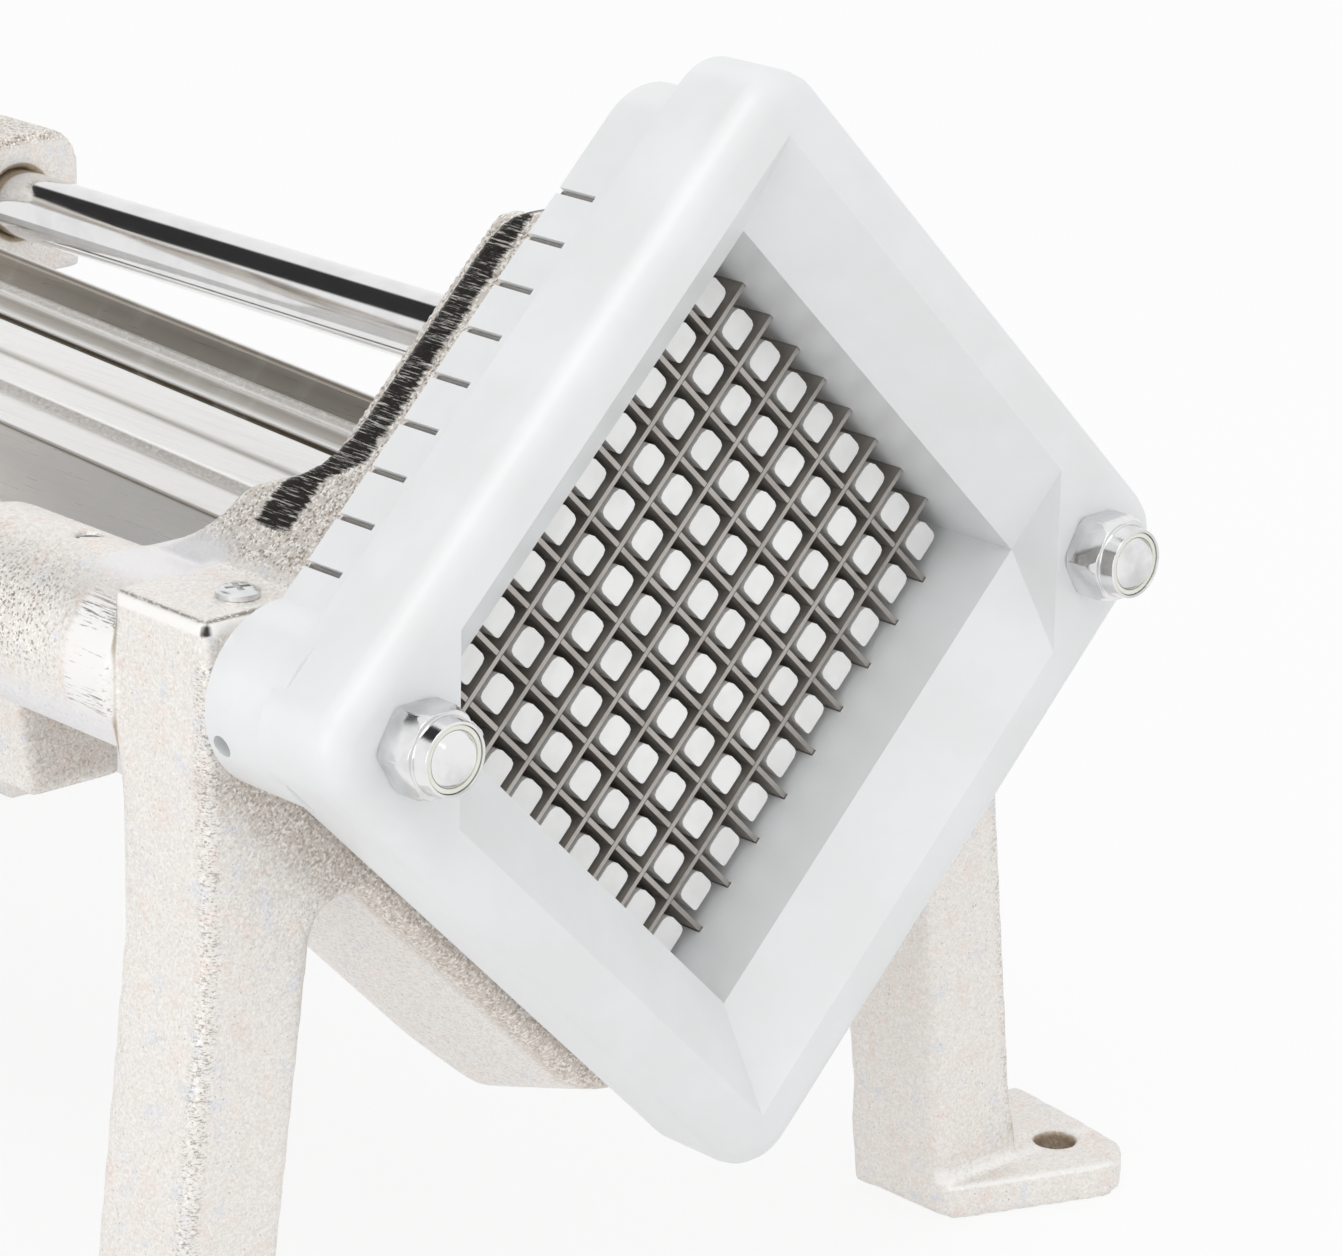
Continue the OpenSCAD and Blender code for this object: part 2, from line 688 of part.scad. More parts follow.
// Holes square to the trough's walls, right side
module trough_screw_holes(y) {
    d = trough_screw_d + 0.1;
    on_corner() translate([-trough_screw_off, y, -trough_half]) {
        translate([0, 0, -trough_screw_l - 2]) cylinder(d = d, h = trough_screw_l + 4);
        translate([0, 0, -screw_sink]) cylinder(r1 = d / 2, r2 = d * 0.93, h = screw_sink + eps);
    }
}

module trough_screws() color([0.72, 0.74, 0.76]) at_axis() both_sides()
    for (y = [trough_screw_front, trough_screw_back])
        on_corner() translate([-trough_screw_off, y, -trough_half]) {
            translate([0, 0, -trough_screw_l]) cylinder(d = trough_screw_d, h = trough_screw_l - 1);
            translate([0, 0, -screw_sink])
                cylinder(r1 = trough_screw_d / 2, r2 = trough_screw_d * 0.88, h = screw_sink);
        }

// ---- carriage ----

module finger_block() color([0.93, 0.93, 0.92]) at_axis() {
    on_corner() for (i = [0:cut_count - 1], j = [0:cut_count - 1])
        translate([(i + 0.5) * cut_pitch - cut_half, block_y + eps, (j + 0.5) * cut_pitch - cut_half])
            rotate([90, 0, 0]) linear_extrude(finger_l + eps) finger_outline();
    difference() {
        along_y(block_y, plate_y) diamond(finger_half, block_r);
        finger_screw_holes(finger_screw_d + 0.2, plate_y - 8, plate_y + 1);
    }
}

// A square finger with soft corners, softest at the top
module finger_outline() {
    h = finger_w / 2;
    soft = [0.3, 0.2, 0.12, 0.2] * finger_w;
    polygon([for (k = [0:3]) let (r = soft[k]) for (a = [0, 45, 90])
        [cos(90 * k), sin(90 * k)] * (h - r) + [-sin(90 * k), cos(90 * k)] * (h - r)
            + r * [cos(90 * k + a), sin(90 * k + a)]]);
}

module finger_screw_holes(d, y0, y1) {
    for (p = finger_screw_at) bar_y(p.x, p.y, d / 2, y0, y1);
}

// Plate, ram, saddle across the trough, bearing housings and the lugs for the push bars
module crosshead() color([0.79, 0.77, 0.75]) at_axis() difference() {
    union() {
        along_y(plate_y + 0.02, plate_y + plate_t) diamond(finger_half - 0.5, block_r);
        translate([-ram_w / 2, plate_y + plate_t - 1, saddle_low])
            cube([ram_w, housing_y - plate_y, saddle_top - saddle_low]);
        along_y(housing_y + 2, housing_y + housing_l - 8) saddle_outline();
        both_sides() {
            bar_y(rod_x, rod_lift, housing_r, housing_y, housing_y + housing_l);
            along_y(bracket_y, housing_y + housing_l) bracket_outline();
        }
    }
    both_sides() {
        bar_y(rod_x, rod_lift, bushing_r + 0.02, housing_y - 1, housing_y + housing_l + 1);
        for (z = bolt_z) bar_x(bolt_y, z, bolt_d / 2 + 0.05, bracket_in + 4, bar_in + 1);
        // the step that a push bar lies in
        translate([bar_in - 0.05, bar_y0 - 0.3, bracket_low - 1])
            cube([40, housing_l + 30, -bar_top - bracket_low]);
    }
    finger_screw_holes(finger_screw_d + 0.4, plate_y - 1, plate_y + plate_t + 1);
    wall_room(lip_end, trough_back);
}

// Front view of a bracket, right side, between trough and rod
module bracket_outline() {
    gap = (trough_out + 2) * sqrt(2);
    polygon([[bracket_in, bracket_low], [bracket_in, bracket_in - gap], [gap - 9.5, -9.5],
        [rod_x - bushing_r - 1, bracket_top], [rod_x - 3, bracket_top], [bracket_out + 2.6, bracket_low + 16],
        [bracket_out, bracket_low]]);
}

// Front view of the saddle: it dips into the trough and rises over the lips to the housings
module saddle_outline() {
    half = finger_half - 0.5;
    edge = half * sqrt(2);
    tip = rod_x - bushing_r - 0.5;
    for (side = [0, 1]) mirror([side, 0]) polygon([[-eps, saddle_top], [saddle_bend[0], saddle_top],
        [saddle_bend[1], saddle_mid], [saddle_bend[2], arm_high], [tip, arm_high], [tip, arm_low],
        [edge + arm_low, arm_low], [edge + saddle_low, saddle_low], [-eps, saddle_low]]);
}

module slide_bushings() color([0.70, 0.55, 0.32]) at_axis() both_sides() difference() {
    bar_y(rod_x, rod_lift, bushing_r, housing_y - 0.6, housing_y + housing_l + 0.6);
    bar_y(rod_x, rod_lift, (rod_d + slide_play) / 2, housing_y - 2, housing_y + housing_l + 2);
}

module finger_screws() color([0.70, 0.71, 0.72]) at_axis() {
    d = finger_screw_d;
    head_y = plate_y + plate_t;
    finger_screw_holes(d, plate_y - 7, head_y);
    difference() {
        finger_screw_holes(1.7 * d, head_y, head_y + d);
        for (p = finger_screw_at) translate([p.x, head_y + d + 1, p.y])
            rotate([90, 0, 0]) cylinder(d = 0.92 * d, h = 3.5, $fn = 6);
    }
}

// Push bar in side view: a flat bar with a tall slotted head
module push_bars() color([0.74, 0.73, 0.72]) at_axis() both_sides() translate([bar_in, 0, 0])
    rotate([90, 0, 90]) linear_extrude(bar_t) difference() {
        union() {
            translate([bar_y0, -bar_drop - bar_h / 2]) square([yoke_y - bar_y0, bar_h]);
            translate([bar_y0, -bar_drop - bar_h / 2]) square([bar_lug, bar_drop + bar_h / 2 - bar_top - 1]);
            polygon([[bar_y0 + bar_lug - 1, -bar_top - 1], [bar_y0 + bar_lug - 1, -bar_drop],
                [bar_y0 + bar_lug + 24, -bar_drop + bar_h / 2 - 1]]);
            translate([yoke_y, -bar_drop]) slot_outline(slot_wide / 2 + head_wall, slot_tall - slot_wide);
        }
        translate([yoke_y, -bar_drop]) slot_outline(slot_wide / 2, slot_tall - slot_wide);
        for (z = bolt_z) translate([bolt_y, z]) circle(bolt_d / 2 + 0.05);
    }

module slot_outline(r, run) {
    square([2 * r, run], center = true);
    for (s = [-1, 1]) translate([0, s * run / 2]) circle(r);
}

module bar_bolts() color([0.70, 0.71, 0.72]) at_axis() both_sides() for (z = bolt_z) {
    bar_x(bolt_y, z, bolt_d / 2, bracket_in + 4.5, bar_in + bar_t + 1.2);
    bar_x(bolt_y, z, bolt_d, bar_in + bar_t, bar_in + bar_t + 1.2);
    translate([bar_in + bar_t + 1.2 - eps, bolt_y, z]) rotate([0, 90, 0])
        cylinder(d = bolt_d * 1.83, h = 3.4, $fn = 6);
}

// ---- lever ----

// Puts children in the lever's frame: origin on the shaft, Y along the crank to the rollers
module at_shaft() {
    at_axis() translate([0, shaft_back, shaft_z]) children();
}

module at_crank() {
    at_shaft() rotate([270 - half_swing, 0, 0]) children();
}

module lever() color([0.72, 0.71, 0.70]) {
    at_shaft() difference() {
        union() {
            bar_x(0, 0, shaft_d / 2 + 7, -arm_in - arm_t, arm_in + arm_t);
            rotate([handle_angle, 0, 0]) bar_y(0, 0, handle_d / 2 + 5, 8, socket_end);
        }
        bar_x(0, 0, shaft_d / 2 + 0.5, -arm_in - arm_t - 1, arm_in + arm_t + 1);
        both_sides() bar_x(0, 0, shaft_d / 2 + 2.02, arm_in + arm_t - 25, arm_in + arm_t + 1);
        rotate([handle_angle, 0, 0]) bar_y(0, 0, handle_d / 2 + 0.02, shaft_d / 2 + 7.5, socket_end + 1);
    }
    both_sides() at_crank() translate([arm_in, 0, 0]) rotate([90, 0, 90]) linear_extrude(arm_t) difference() {
        union() {
            circle(shaft_d / 2 + 12);
            translate([crank_r, 0]) circle(13);
            polygon([[0, shaft_d / 2 + 12], [crank_r, 13], [crank_r, -13], [0, -shaft_d / 2 - 12]]);
        }
        circle(shaft_d / 2 + 3);
        translate([crank_r, 0]) circle(pin_r + 0.02);
    }
}

module hub_bushings() color([0.70, 0.55, 0.32]) at_shaft() both_sides() difference() {
    bar_x(0, 0, shaft_d / 2 + 2, arm_in + arm_t - 24.5, arm_in + arm_t + 0.3);
    bar_x(0, 0, shaft_d / 2 + 0.04, arm_in + arm_t - 26, arm_in + arm_t + 2);
}

module roller_pins() color([0.70, 0.71, 0.72]) both_sides() at_crank() {
    bar_x(crank_r, 0, pin_r, arm_in - 2, bar_in + bar_t + pin_over);
    bar_x(crank_r, 0, pin_head_r, arm_in - 5, arm_in);
}

module roller_clips() color([0.55, 0.55, 0.56]) both_sides() at_crank() difference() {
    bar_x(crank_r, 0, pin_head_r, bar_in + bar_t + 1.2, bar_in + bar_t + 2.4);
    bar_x(crank_r, 0, pin_r + 0.02, bar_in + bar_t, bar_in + bar_t + 4);
}

module roller() {
    at_crank() difference() {
        bar_x(crank_r, 0, roller_d / 2, bar_in - 0.7, bar_in + bar_t + 0.7);
        bar_x(crank_r, 0, pin_r + 0.05, bar_in - 2, bar_in + bar_t + 2);
    }
}

module roller_right() color([0.70, 0.55, 0.32]) roller();

module roller_left() color([0.70, 0.55, 0.32]) mirror([1, 0, 0]) roller();

module handle_bar() color([0.76, 0.75, 0.74]) at_shaft() rotate([handle_angle, 0, 0])
    bar_y(0, 0, handle_d / 2, shaft_d / 2 + 8, handle_l - 12);

// Turned grip with a swell and a rounded end
module handle_grip() color([0.12, 0.12, 0.13]) at_shaft() rotate([handle_angle - 90, 0, 0])
    translate([0, 0, handle_l - grip_l]) rotate_extrude() grip_profile();

module grip_profile() {
    r = grip_d / 2;
    bore = handle_d / 2 + 0.05;
    polygon([[bore, 0], [r - 3.5, 0], [r - 2, 2], [r - 2.2, 10], [r, 40], [r, grip_l - 40],
        [r - 1.2, grip_l - 20], [r - 3.5, grip_l - 7], [r - 8, grip_l - 1.5], [0, grip_l],
        [0, grip_l - 11], [bore, grip_l - 11]]);
}

// ---- fulcrum ----

module fulcrum_shaft() color([0.74, 0.74, 0.75]) at_shaft()
    bar_x(0, 0, shaft_d / 2, -shaft_end, shaft_end);

module fulcrum_spacers() color([0.66, 0.66, 0.67]) at_shaft() both_sides() difference() {
    bar_x(0, 0, shaft_d / 2 + 5, arm_in + arm_t + 0.6, ear_in - 0.05);
    bar_x(0, 0, shaft_d / 2 + 0.05, arm_in + arm_t - 1, ear_in + 1);
}

module fulcrum_washers() color([0.70, 0.71, 0.72]) at_shaft() both_sides() difference() {
    bar_x(0, 0, shaft_d / 2 + washer_rim, washer_x, washer_x + washer_t);
    bar_x(0, 0, shaft_d / 2 + 0.05, washer_x - 1, washer_x + washer_t + 1);
}

module fulcrum_nuts() color([0.70, 0.71, 0.72]) at_shaft() both_sides() difference() {
    translate([shaft_nut_x, 0, 0]) rotate([0, 90, 0]) cylinder(d = shaft_d * 1.7, h = shaft_nut_h, $fn = 6);
    bar_x(0, 0, shaft_d / 2 + 0.05, shaft_nut_x - 1, shaft_nut_x + shaft_nut_h + 1);
}

front_frame();
rear_frame();
guide_rods();
trough_wall_left();
trough_wall_right();
trough_screws();
blade_frame();
long_blades();
cross_blades();
frame_studs();
lock_nuts();
lock_nut_rings();
stud_lock_screws();
rod_set_screws();
rear_rod_pins();
fulcrum_shaft();
fulcrum_spacers();
fulcrum_washers();
fulcrum_nuts();
crosshead();
slide_bushings();
finger_block();
finger_screws();
push_bars();
bar_bolts();
lever();
hub_bushings();
roller_pins();
roller_clips();
roller_left();
roller_right();
handle_bar();
handle_grip();
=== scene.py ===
# French fry cutter: finishes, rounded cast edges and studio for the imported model.
# Metres, in the frame of the CAD: the bench is z = 0 and the blades face -Y.
import math
import bpy
import numpy as np
from mathutils import Matrix, Vector


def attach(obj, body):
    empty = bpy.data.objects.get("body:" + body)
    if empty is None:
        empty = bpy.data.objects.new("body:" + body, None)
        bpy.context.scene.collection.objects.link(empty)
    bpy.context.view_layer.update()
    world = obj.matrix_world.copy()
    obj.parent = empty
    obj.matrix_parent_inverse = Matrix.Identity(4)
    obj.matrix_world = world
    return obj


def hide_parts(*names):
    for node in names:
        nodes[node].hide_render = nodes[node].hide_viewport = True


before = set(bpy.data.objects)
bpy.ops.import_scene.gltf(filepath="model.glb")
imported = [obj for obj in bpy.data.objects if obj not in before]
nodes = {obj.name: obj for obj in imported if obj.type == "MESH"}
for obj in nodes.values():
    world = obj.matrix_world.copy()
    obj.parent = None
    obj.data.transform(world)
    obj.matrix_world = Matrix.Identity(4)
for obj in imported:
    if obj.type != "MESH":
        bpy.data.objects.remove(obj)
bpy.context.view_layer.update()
print("frame loaded:", len(nodes), "nodes")

mm = 0.001
axisY = -166 * mm          # back face of the blade frame
axisZ = 144.5 * mm         # middle of the blades over the bench
diagonal = math.sqrt(0.5)  # the blade frame stands on its corner, at 45 degrees


def add(tree, kind, feeds=None, **props):
    made = tree.nodes.new(kind)
    for key, value in props.items():
        setattr(made, key, value)
    for key, value in (feeds or {}).items():
        socket = made.inputs[key]
        if isinstance(value, bpy.types.NodeSocket):
            tree.links.new(value, socket)
        else:
            socket.default_value = value
    return made


def maths(tree, operation, a, b=0.0, clamp=False):
    return add(tree, "ShaderNodeMath", {0: a, 1: b}, operation=operation, use_clamp=clamp).outputs[0]


# one operation carried over all the values, from the first to the last
def chain(tree, operation, first, *others):
    for other in others:
        first = maths(tree, operation, first, other)
    return first


def times(tree, *values):
    return chain(tree, "MULTIPLY", *values)


def plus(tree, *values):
    return chain(tree, "ADD", *values)


def highest(tree, *values):
    return chain(tree, "MAXIMUM", *values)


def minus(tree, a, b, clamp=False):
    return maths(tree, "SUBTRACT", a, b, clamp)


# from the first value where the share is 0 to the last where it is 1
def graded(tree, share, first, last):
    return plus(tree, times(tree, share, last - first), first)


# distance from an axis, given the two offsets from it
def distance(tree, a, b):
    return maths(tree, "SQRT", plus(tree, times(tree, a, a), times(tree, b, b)))


# value rises smoothly from 0 at low to 1 at high
def rise(tree, value, low, high):
    made = add(tree, "ShaderNodeMapRange", {"Value": value, "From Min": low, "From Max": high},
               interpolation_type="SMOOTHSTEP")
    return made.outputs[0]


# 1 between low and high, with soft edges
def between(tree, value, low, high, soft):
    return times(tree, rise(tree, value, low - soft, low + soft),
                 rise(tree, value, high + soft, high - soft))


# product of one soft span for each named place: a span of two numbers is 0 at the first and 1 at the
# second, and a span of three is 1 between the first two, with edges as soft as the third
def zone(tree, places, spans):
    kinds = {2: rise, 3: between}
    return times(tree, *[kinds[len(span)](tree, places[key], *span) for key, span in spans.items()])


def objectPlace(tree):
    return add(tree, "ShaderNodeTexCoord").outputs["Object"]


def turned(tree, place, scale=(1, 1, 1), location=(0, 0, 0)):
    made = add(tree, "ShaderNodeMapping", {"Vector": place, "Scale": scale, "Location": location})
    return made.outputs[0]


# places in mm: across from the middle, back from the blade frame and up from the blades' middle,
# and upper and lower, which are square to the blade frame's tilted sides
def placesOn(tree, place):
    centred = turned(tree, place, (1 / mm, 1 / mm, 1 / mm), (0, -axisY / mm, -axisZ / mm))
    parts = add(tree, "ShaderNodeSeparateXYZ", {0: centred}).outputs
    across = maths(tree, "ABSOLUTE", parts["X"])
    return {"across": across, "back": parts["Y"], "up": parts["Z"],
            "upper": times(tree, plus(tree, across, parts["Z"]), diagonal),
            "lower": times(tree, minus(tree, across, parts["Z"]), diagonal)}


# soft noise, given the size of its largest grains
def grain(tree, place, size, detail=2.0, rough=0.55):
    made = add(tree, "ShaderNodeTexNoise", {"Vector": place, "Scale": 1 / size, "Detail": detail,
                                            "Roughness": rough})
    return made.outputs["Fac"]


def cells(tree, place, size, output="Color"):
    return add(tree, "ShaderNodeTexVoronoi", {"Vector": place, "Scale": 1 / size}).outputs[output]


def mixed(tree, factor, a, b):
    return add(tree, "ShaderNodeMix", {0: factor, 6: a, 7: b}, data_type="RGBA").outputs[2]


# a tone laid over the colour where the mask is, at a share of its full strength
def painted(tree, colour, tone, mask, share):
    return mixed(tree, times(tree, mask, share), colour, tone)


def mixedNormal(tree, factor, a, b):
    return add(tree, "ShaderNodeMix", {0: factor, 4: a, 5: b}, data_type="VECTOR").outputs[1]


def ramp(tree, value, *stops):
    made = add(tree, "ShaderNodeValToRGB", {"Fac": value})
    band = made.color_ramp
    while len(band.elements) < len(stops):
        band.elements.new(0.5)
    for element, (position, colour) in zip(band.elements, stops):
        element.position = position
        element.color = colour
    return made.outputs["Color"]


def grey(level):
    return (level, level, level, 1)


# a colour as the eye reads it in the picture, turned to linear light
def seen(r, g, b):
    return tuple(((c + 0.055) / 1.055) ** 2.4 if c > 0.04045 else c / 12.92 for c in (r, g, b)) + (1,)


def bumped(tree, height, depth, strength=1.0, normal=None):
    feeds = {"Height": height, "Distance": depth, "Strength": strength}
    if normal is not None:
        feeds["Normal"] = normal
    return add(tree, "ShaderNodeBump", feeds).outputs[0]


# tilts the normal by a random amount in each small cell, as the facets of a sand-cast skin do
def facets(tree, place, size, tilt, normal):
    random = add(tree, "ShaderNodeVectorMath", {0: cells(tree, place, size), 1: (0.5, 0.5, 0.5)},
                 operation="SUBTRACT").outputs[0]
    scaled = add(tree, "ShaderNodeVectorMath", {0: random, "Scale": tilt}, operation="SCALE").outputs[0]
    summed = add(tree, "ShaderNodeVectorMath", {0: normal, 1: scaled}, operation="ADD").outputs[0]
    return add(tree, "ShaderNodeVectorMath", {0: summed}, operation="NORMALIZE").outputs[0]


def finish(name, metallic=0.0, roughness=0.5):
    made = bpy.data.materials.new(name)
    made.use_nodes = True
    tree = made.node_tree
    shader = tree.nodes["Principled BSDF"]
    shader.inputs["Metallic"].default_value = metallic
    shader.inputs["Roughness"].default_value = roughness
    return made, tree, shader, objectPlace(tree)


def wire(tree, shader, **feeds):
    for key, value in feeds.items():
        tree.links.new(value, shader.inputs[key.replace("_", " ")])


castLook = {
    "metal": 0.38, "gloss": (0.26, 0.48),
    "light": seen(0.955, 0.942, 0.925), "dark": seen(0.905, 0.88, 0.855), "blue": seen(0.87, 0.89, 0.93),
    # glint is a painted highlight and shadow a painted shade, both laid in small random cells
    "pink": seen(0.935, 0.87, 0.84), "brownSpecks": seen(0.62, 0.54, 0.48), "glint": seen(0.995, 0.985, 0.97),
    # smooth is a cool tone: painted shade on the tubes' undersides, and the real rubbed metal on their tops
    "shadow": seen(0.50, 0.44, 0.38), "smooth": seen(0.93, 0.928, 0.94), "arms": seen(0.82, 0.79, 0.75),
    # the keel's underside is painted lighter, as if lit from below: painted light
    "seam": seen(0.82, 0.775, 0.73), "paintedBellyLight": seen(0.995, 0.98, 0.96),
    "shares": {"blue": 0.5, "pink": 0.5, "seam": 0.75, "paintedBellyLight": 0.8, "arms": 0.7, "smooth": 0.75,
               "brownSpecks": 0.7},
    "patches": (5 * mm, 4.0, 0.6), "fine": (0.55 * mm, 3.0, 0.7), "waves": (2.6 * mm, 2.0, 0.55),
    "fineDepth": 0.16 * mm, "fineStrength": 0.6, "waveDepth": 0.35 * mm, "waveStrength": 0.35,
    "toneSize": 0.42 * mm, "pitSize": 1.3 * mm, "facetSize": 0.5 * mm, "facetTilt": 0.36, "calmTilt": 0.22,
    "coarseWebs": 0.3, "coarseSeam": 0.5, "glintShare": (0.4, 0.9), "shadowShare": (0.07, 0.69),
    "bellyCalm": 0.3,
}
castZones = {   # spans in mm or of a noise, read by zone
    "grain": {"fine": (0.3, 0.7)},
    "blue": {"patch": (0.57, 0.68)},
    "pink": {"patch": (0.44, 0.36)},
    "tubes": {"back": (42, 275, 6), "up": (-4, 11, 4)},
    "arms": {"up": (15.5, 17)},
    "webs": {"across": (76, 70), "up": (-150, -125)},
    "seam": {"lower": (80, 72), "back": (8, 4), "up": (-9, -15)},    # the front next to the blade frame
    # painted light: the keel's underside, lighter as if lit from below
    "paintedBellyLight": {"lower": (82, 86), "across": (70, 64)},                # the keel's underside
    # the tubes' undersides take the smooth tone as painted shade
    "smooth": {"back": (26.5, 84, 1), "up": (-21, -8, 3), "across": (62, 66)},   # the tubes' undersides
    "glints": {"tone": (0.68, 0.84)},
    "shadows": {"tone": (0.26, 0.08)},
    # brown specks, laid in small pit cells
    "brownSpecks": {"pits": (0.2, 0.1), "fine": (0.5, 0.58)},
}


# a plated sand casting: painted glints and painted shade in small cells, brown specks and faint blotches,
# coarser on tubes, arms and webs
def sandCast(name, dressed=False):
    look = castLook
    made, tree, shader, place = finish(name, look["metal"])
    places = placesOn(tree, place)
    places["patch"] = grain(tree, place, *look["patches"])
    places["fine"] = grain(tree, place, *look["fine"])
    tones = cells(tree, place, look["toneSize"])
    places["tone"] = add(tree, "ShaderNodeSeparateColor", {0: tones}).outputs[0]
    places["pits"] = cells(tree, place, look["pitSize"], "Distance")
    mask = {key: zone(tree, places, spans) for key, spans in castZones.items()}
    colour = mixed(tree, mask["grain"], look["dark"], look["light"])
    for key in ("blue", "pink", "seam", "paintedBellyLight", "arms"):
        colour = painted(tree, colour, look[key], mask[key], look["shares"][key])
    # the coarser the skin, the more painted glints and painted shade it has
    coarse = highest(tree, mask["tubes"], mask["arms"], times(tree, mask["webs"], look["coarseWebs"]),
                     times(tree, mask["seam"], look["coarseSeam"]))
    glints = times(tree, mask["glints"], graded(tree, coarse, *look["glintShare"]))
    colour = mixed(tree, glints, colour, look["glint"])
    shadows = times(tree, mask["shadows"], graded(tree, coarse, *look["shadowShare"]))
    colour = mixed(tree, shadows, colour, look["shadow"])
    # painted shade: the tubes' undersides take a smooth cool tone, the colour of their shade; brown specks
    # go over all
    for key in ("smooth", "brownSpecks"):
        colour = painted(tree, colour, look[key], mask[key], look["shares"][key])
    normal = bumped(tree, places["fine"], look["fineDepth"], look["fineStrength"])
    waves = grain(tree, place, *look["waves"])
    normal = bumped(tree, waves, look["waveDepth"], look["waveStrength"], normal)
    tilt = look["facetTilt"] if dressed else look["calmTilt"]
    rough = facets(tree, place, look["facetSize"], tilt, normal)
    if dressed:
        colour, flat, metal = dressArms(tree, place, places, colour)
        rough = mixedNormal(tree, minus(tree, 1.0, flat, True), normal, rough)
        metal = minus(tree, metal, times(tree, mask["paintedBellyLight"], look["bellyCalm"]), True)
        wire(tree, shader, Metallic=metal)
    else:
        colour = paintedMouthReflection(tree, places, colour)
    wire(tree, shader, Base_Color=colour, Normal=rough,
         Roughness=graded(tree, places["patch"], *look["gloss"]))
    return made


groundLook = {   # the arms' outer faces, ground by hand; mm
    # the dark tone is partly painted reflection, the dark studio seen in the ground arms; it also marks
    # real file strokes and the blocks' dark corner
    "dark": seen(0.20, 0.185, 0.17), "pale": seen(0.90, 0.89, 0.87), "topTone": seen(0.68, 0.64, 0.59),
    "metal": 0.7, "flat": 0.7, "top": (74, 80), "topShare": 0.7,
    "border": (0.5 * mm, 3.0, 0.55), "borderStretch": 0.09, "borderDepth": 4.5, "borderDrop": -0.7,
    "strokes": (0.34 * mm, 4.0, 0.75), "strokeStretch": 0.045, "paleStrokes": (0.54, 0.62),
    "armFoot": (28, 33), "start": (14.5, 8.4), "end": (23, 40),   # each from the shoulder to the arm
    "strip": {"upper": (57.5, 58), "pastStart": (-0.6, 0.6), "pastEnd": (0.6, -0.6),
              "raggedUp": (20.4, 21.6)},
}


# dark and pale strokes along the arms, inside a ragged border: real grinding strokes, their dark painted as
# the reflection of the dark studio
def groundArms(tree, place, places, colour):
    look = groundLook
    stretched = turned(tree, place, (1, look["borderStretch"], 1))
    border = grain(tree, stretched, *look["border"])
    ragged = times(tree, minus(tree, border, 0.5), look["borderDepth"])
    places["raggedBack"] = plus(tree, places["back"], ragged)
    places["raggedUp"] = plus(tree, places["up"], times(tree, ragged, look["borderDrop"]))
    # the strip starts further back on the shoulder than on the arm above it, and ends sooner there
    onArm = rise(tree, places["up"], *look["armFoot"])
    places["pastStart"] = minus(tree, places["raggedBack"], graded(tree, onArm, *look["start"]))
    places["pastEnd"] = minus(tree, places["raggedBack"], graded(tree, onArm, *look["end"]))
    ground = zone(tree, places, look["strip"])
    drawn = turned(tree, place, (1, look["strokeStretch"], 1))
    places["strokes"] = grain(tree, drawn, *look["strokes"])
    tone = mixed(tree, rise(tree, places["strokes"], *look["paleStrokes"]), look["dark"], look["pale"])
    tone = painted(tree, tone, look["topTone"], rise(tree, places["up"], *look["top"]), look["topShare"])
    return mixed(tree, ground, colour, tone), ground


blockLook = {   # the legs and the blocks at their tops; mm
    "filed": seen(0.985, 0.98, 0.97), "tick": seen(0.46, 0.43, 0.40), "ticks": (0.9 * mm, 4.0, 0.75),
    "tickStretch": 2.6, "waves": 1.6, "cornerSlope": 0.7,
    "pitShare": 0.7, "bevelShare": 0.9, "edgeShare": 0.85,
    "front": 1.5, "top": 14.5, "side": 94.5, "bend": -47, "splay": 0.118,   # the legs splay below the bend
    "pitted": {"corner": (3.0, 1.2), "ticks": (0.52, 0.6), "up": (-131, 7, 3)},
    "sideRim": (1.1, 0.5), "frontRim": (2.9, 2.2), "rimEnd": (26, 25.4),
    "bevel": {"wavy": (0.7, 2.8, 0.3)},
    "edge": {"drop": (0.1, 0.6, 0.2), "ticks": (0.4, 0.5)},
    "spot": {"corner": (1.3, 0.8), "wavy": (0.6, 2.8, 0.4)},
}


# pitted ticks where a leg's side and front meet; round the block's top a bright bevel with a dark speckled
# line over it and a dark front corner
def dressBlocks(tree, place, places, colour):
    look = blockLook
    below = maths(tree, "MAXIMUM", minus(tree, look["bend"], places["up"]), 0.0)
    side = plus(tree, times(tree, below, look["splay"]), look["side"])
    places["inward"] = minus(tree, side, places["across"])
    behind = minus(tree, places["back"], look["front"])
    places["corner"] = times(tree, plus(tree, places["inward"], behind), look["cornerSlope"])
    squat = turned(tree, place, (1, 1, look["tickStretch"]))
    places["ticks"] = grain(tree, squat, *look["ticks"])
    places["drop"] = minus(tree, look["top"], places["up"])
    waves = times(tree, minus(tree, places["ticks"], 0.5), look["waves"])
    places["wavy"] = plus(tree, places["drop"], waves)
    colour = painted(tree, colour, look["tick"], zone(tree, places, look["pitted"]), look["pitShare"])
    rim = highest(tree, rise(tree, places["inward"], *look["sideRim"]),
                  rise(tree, places["back"], *look["frontRim"]))
    rim = times(tree, rim, rise(tree, places["back"], *look["rimEnd"]))
    bevel = times(tree, rim, zone(tree, places, look["bevel"]))
    colour = painted(tree, colour, look["filed"], bevel, look["bevelShare"])
    edge = times(tree, rim, zone(tree, places, look["edge"]))
    colour = painted(tree, colour, look["tick"], edge, look["edgeShare"])
    return mixed(tree, zone(tree, places, look["spot"]), colour, groundLook["dark"]), bevel


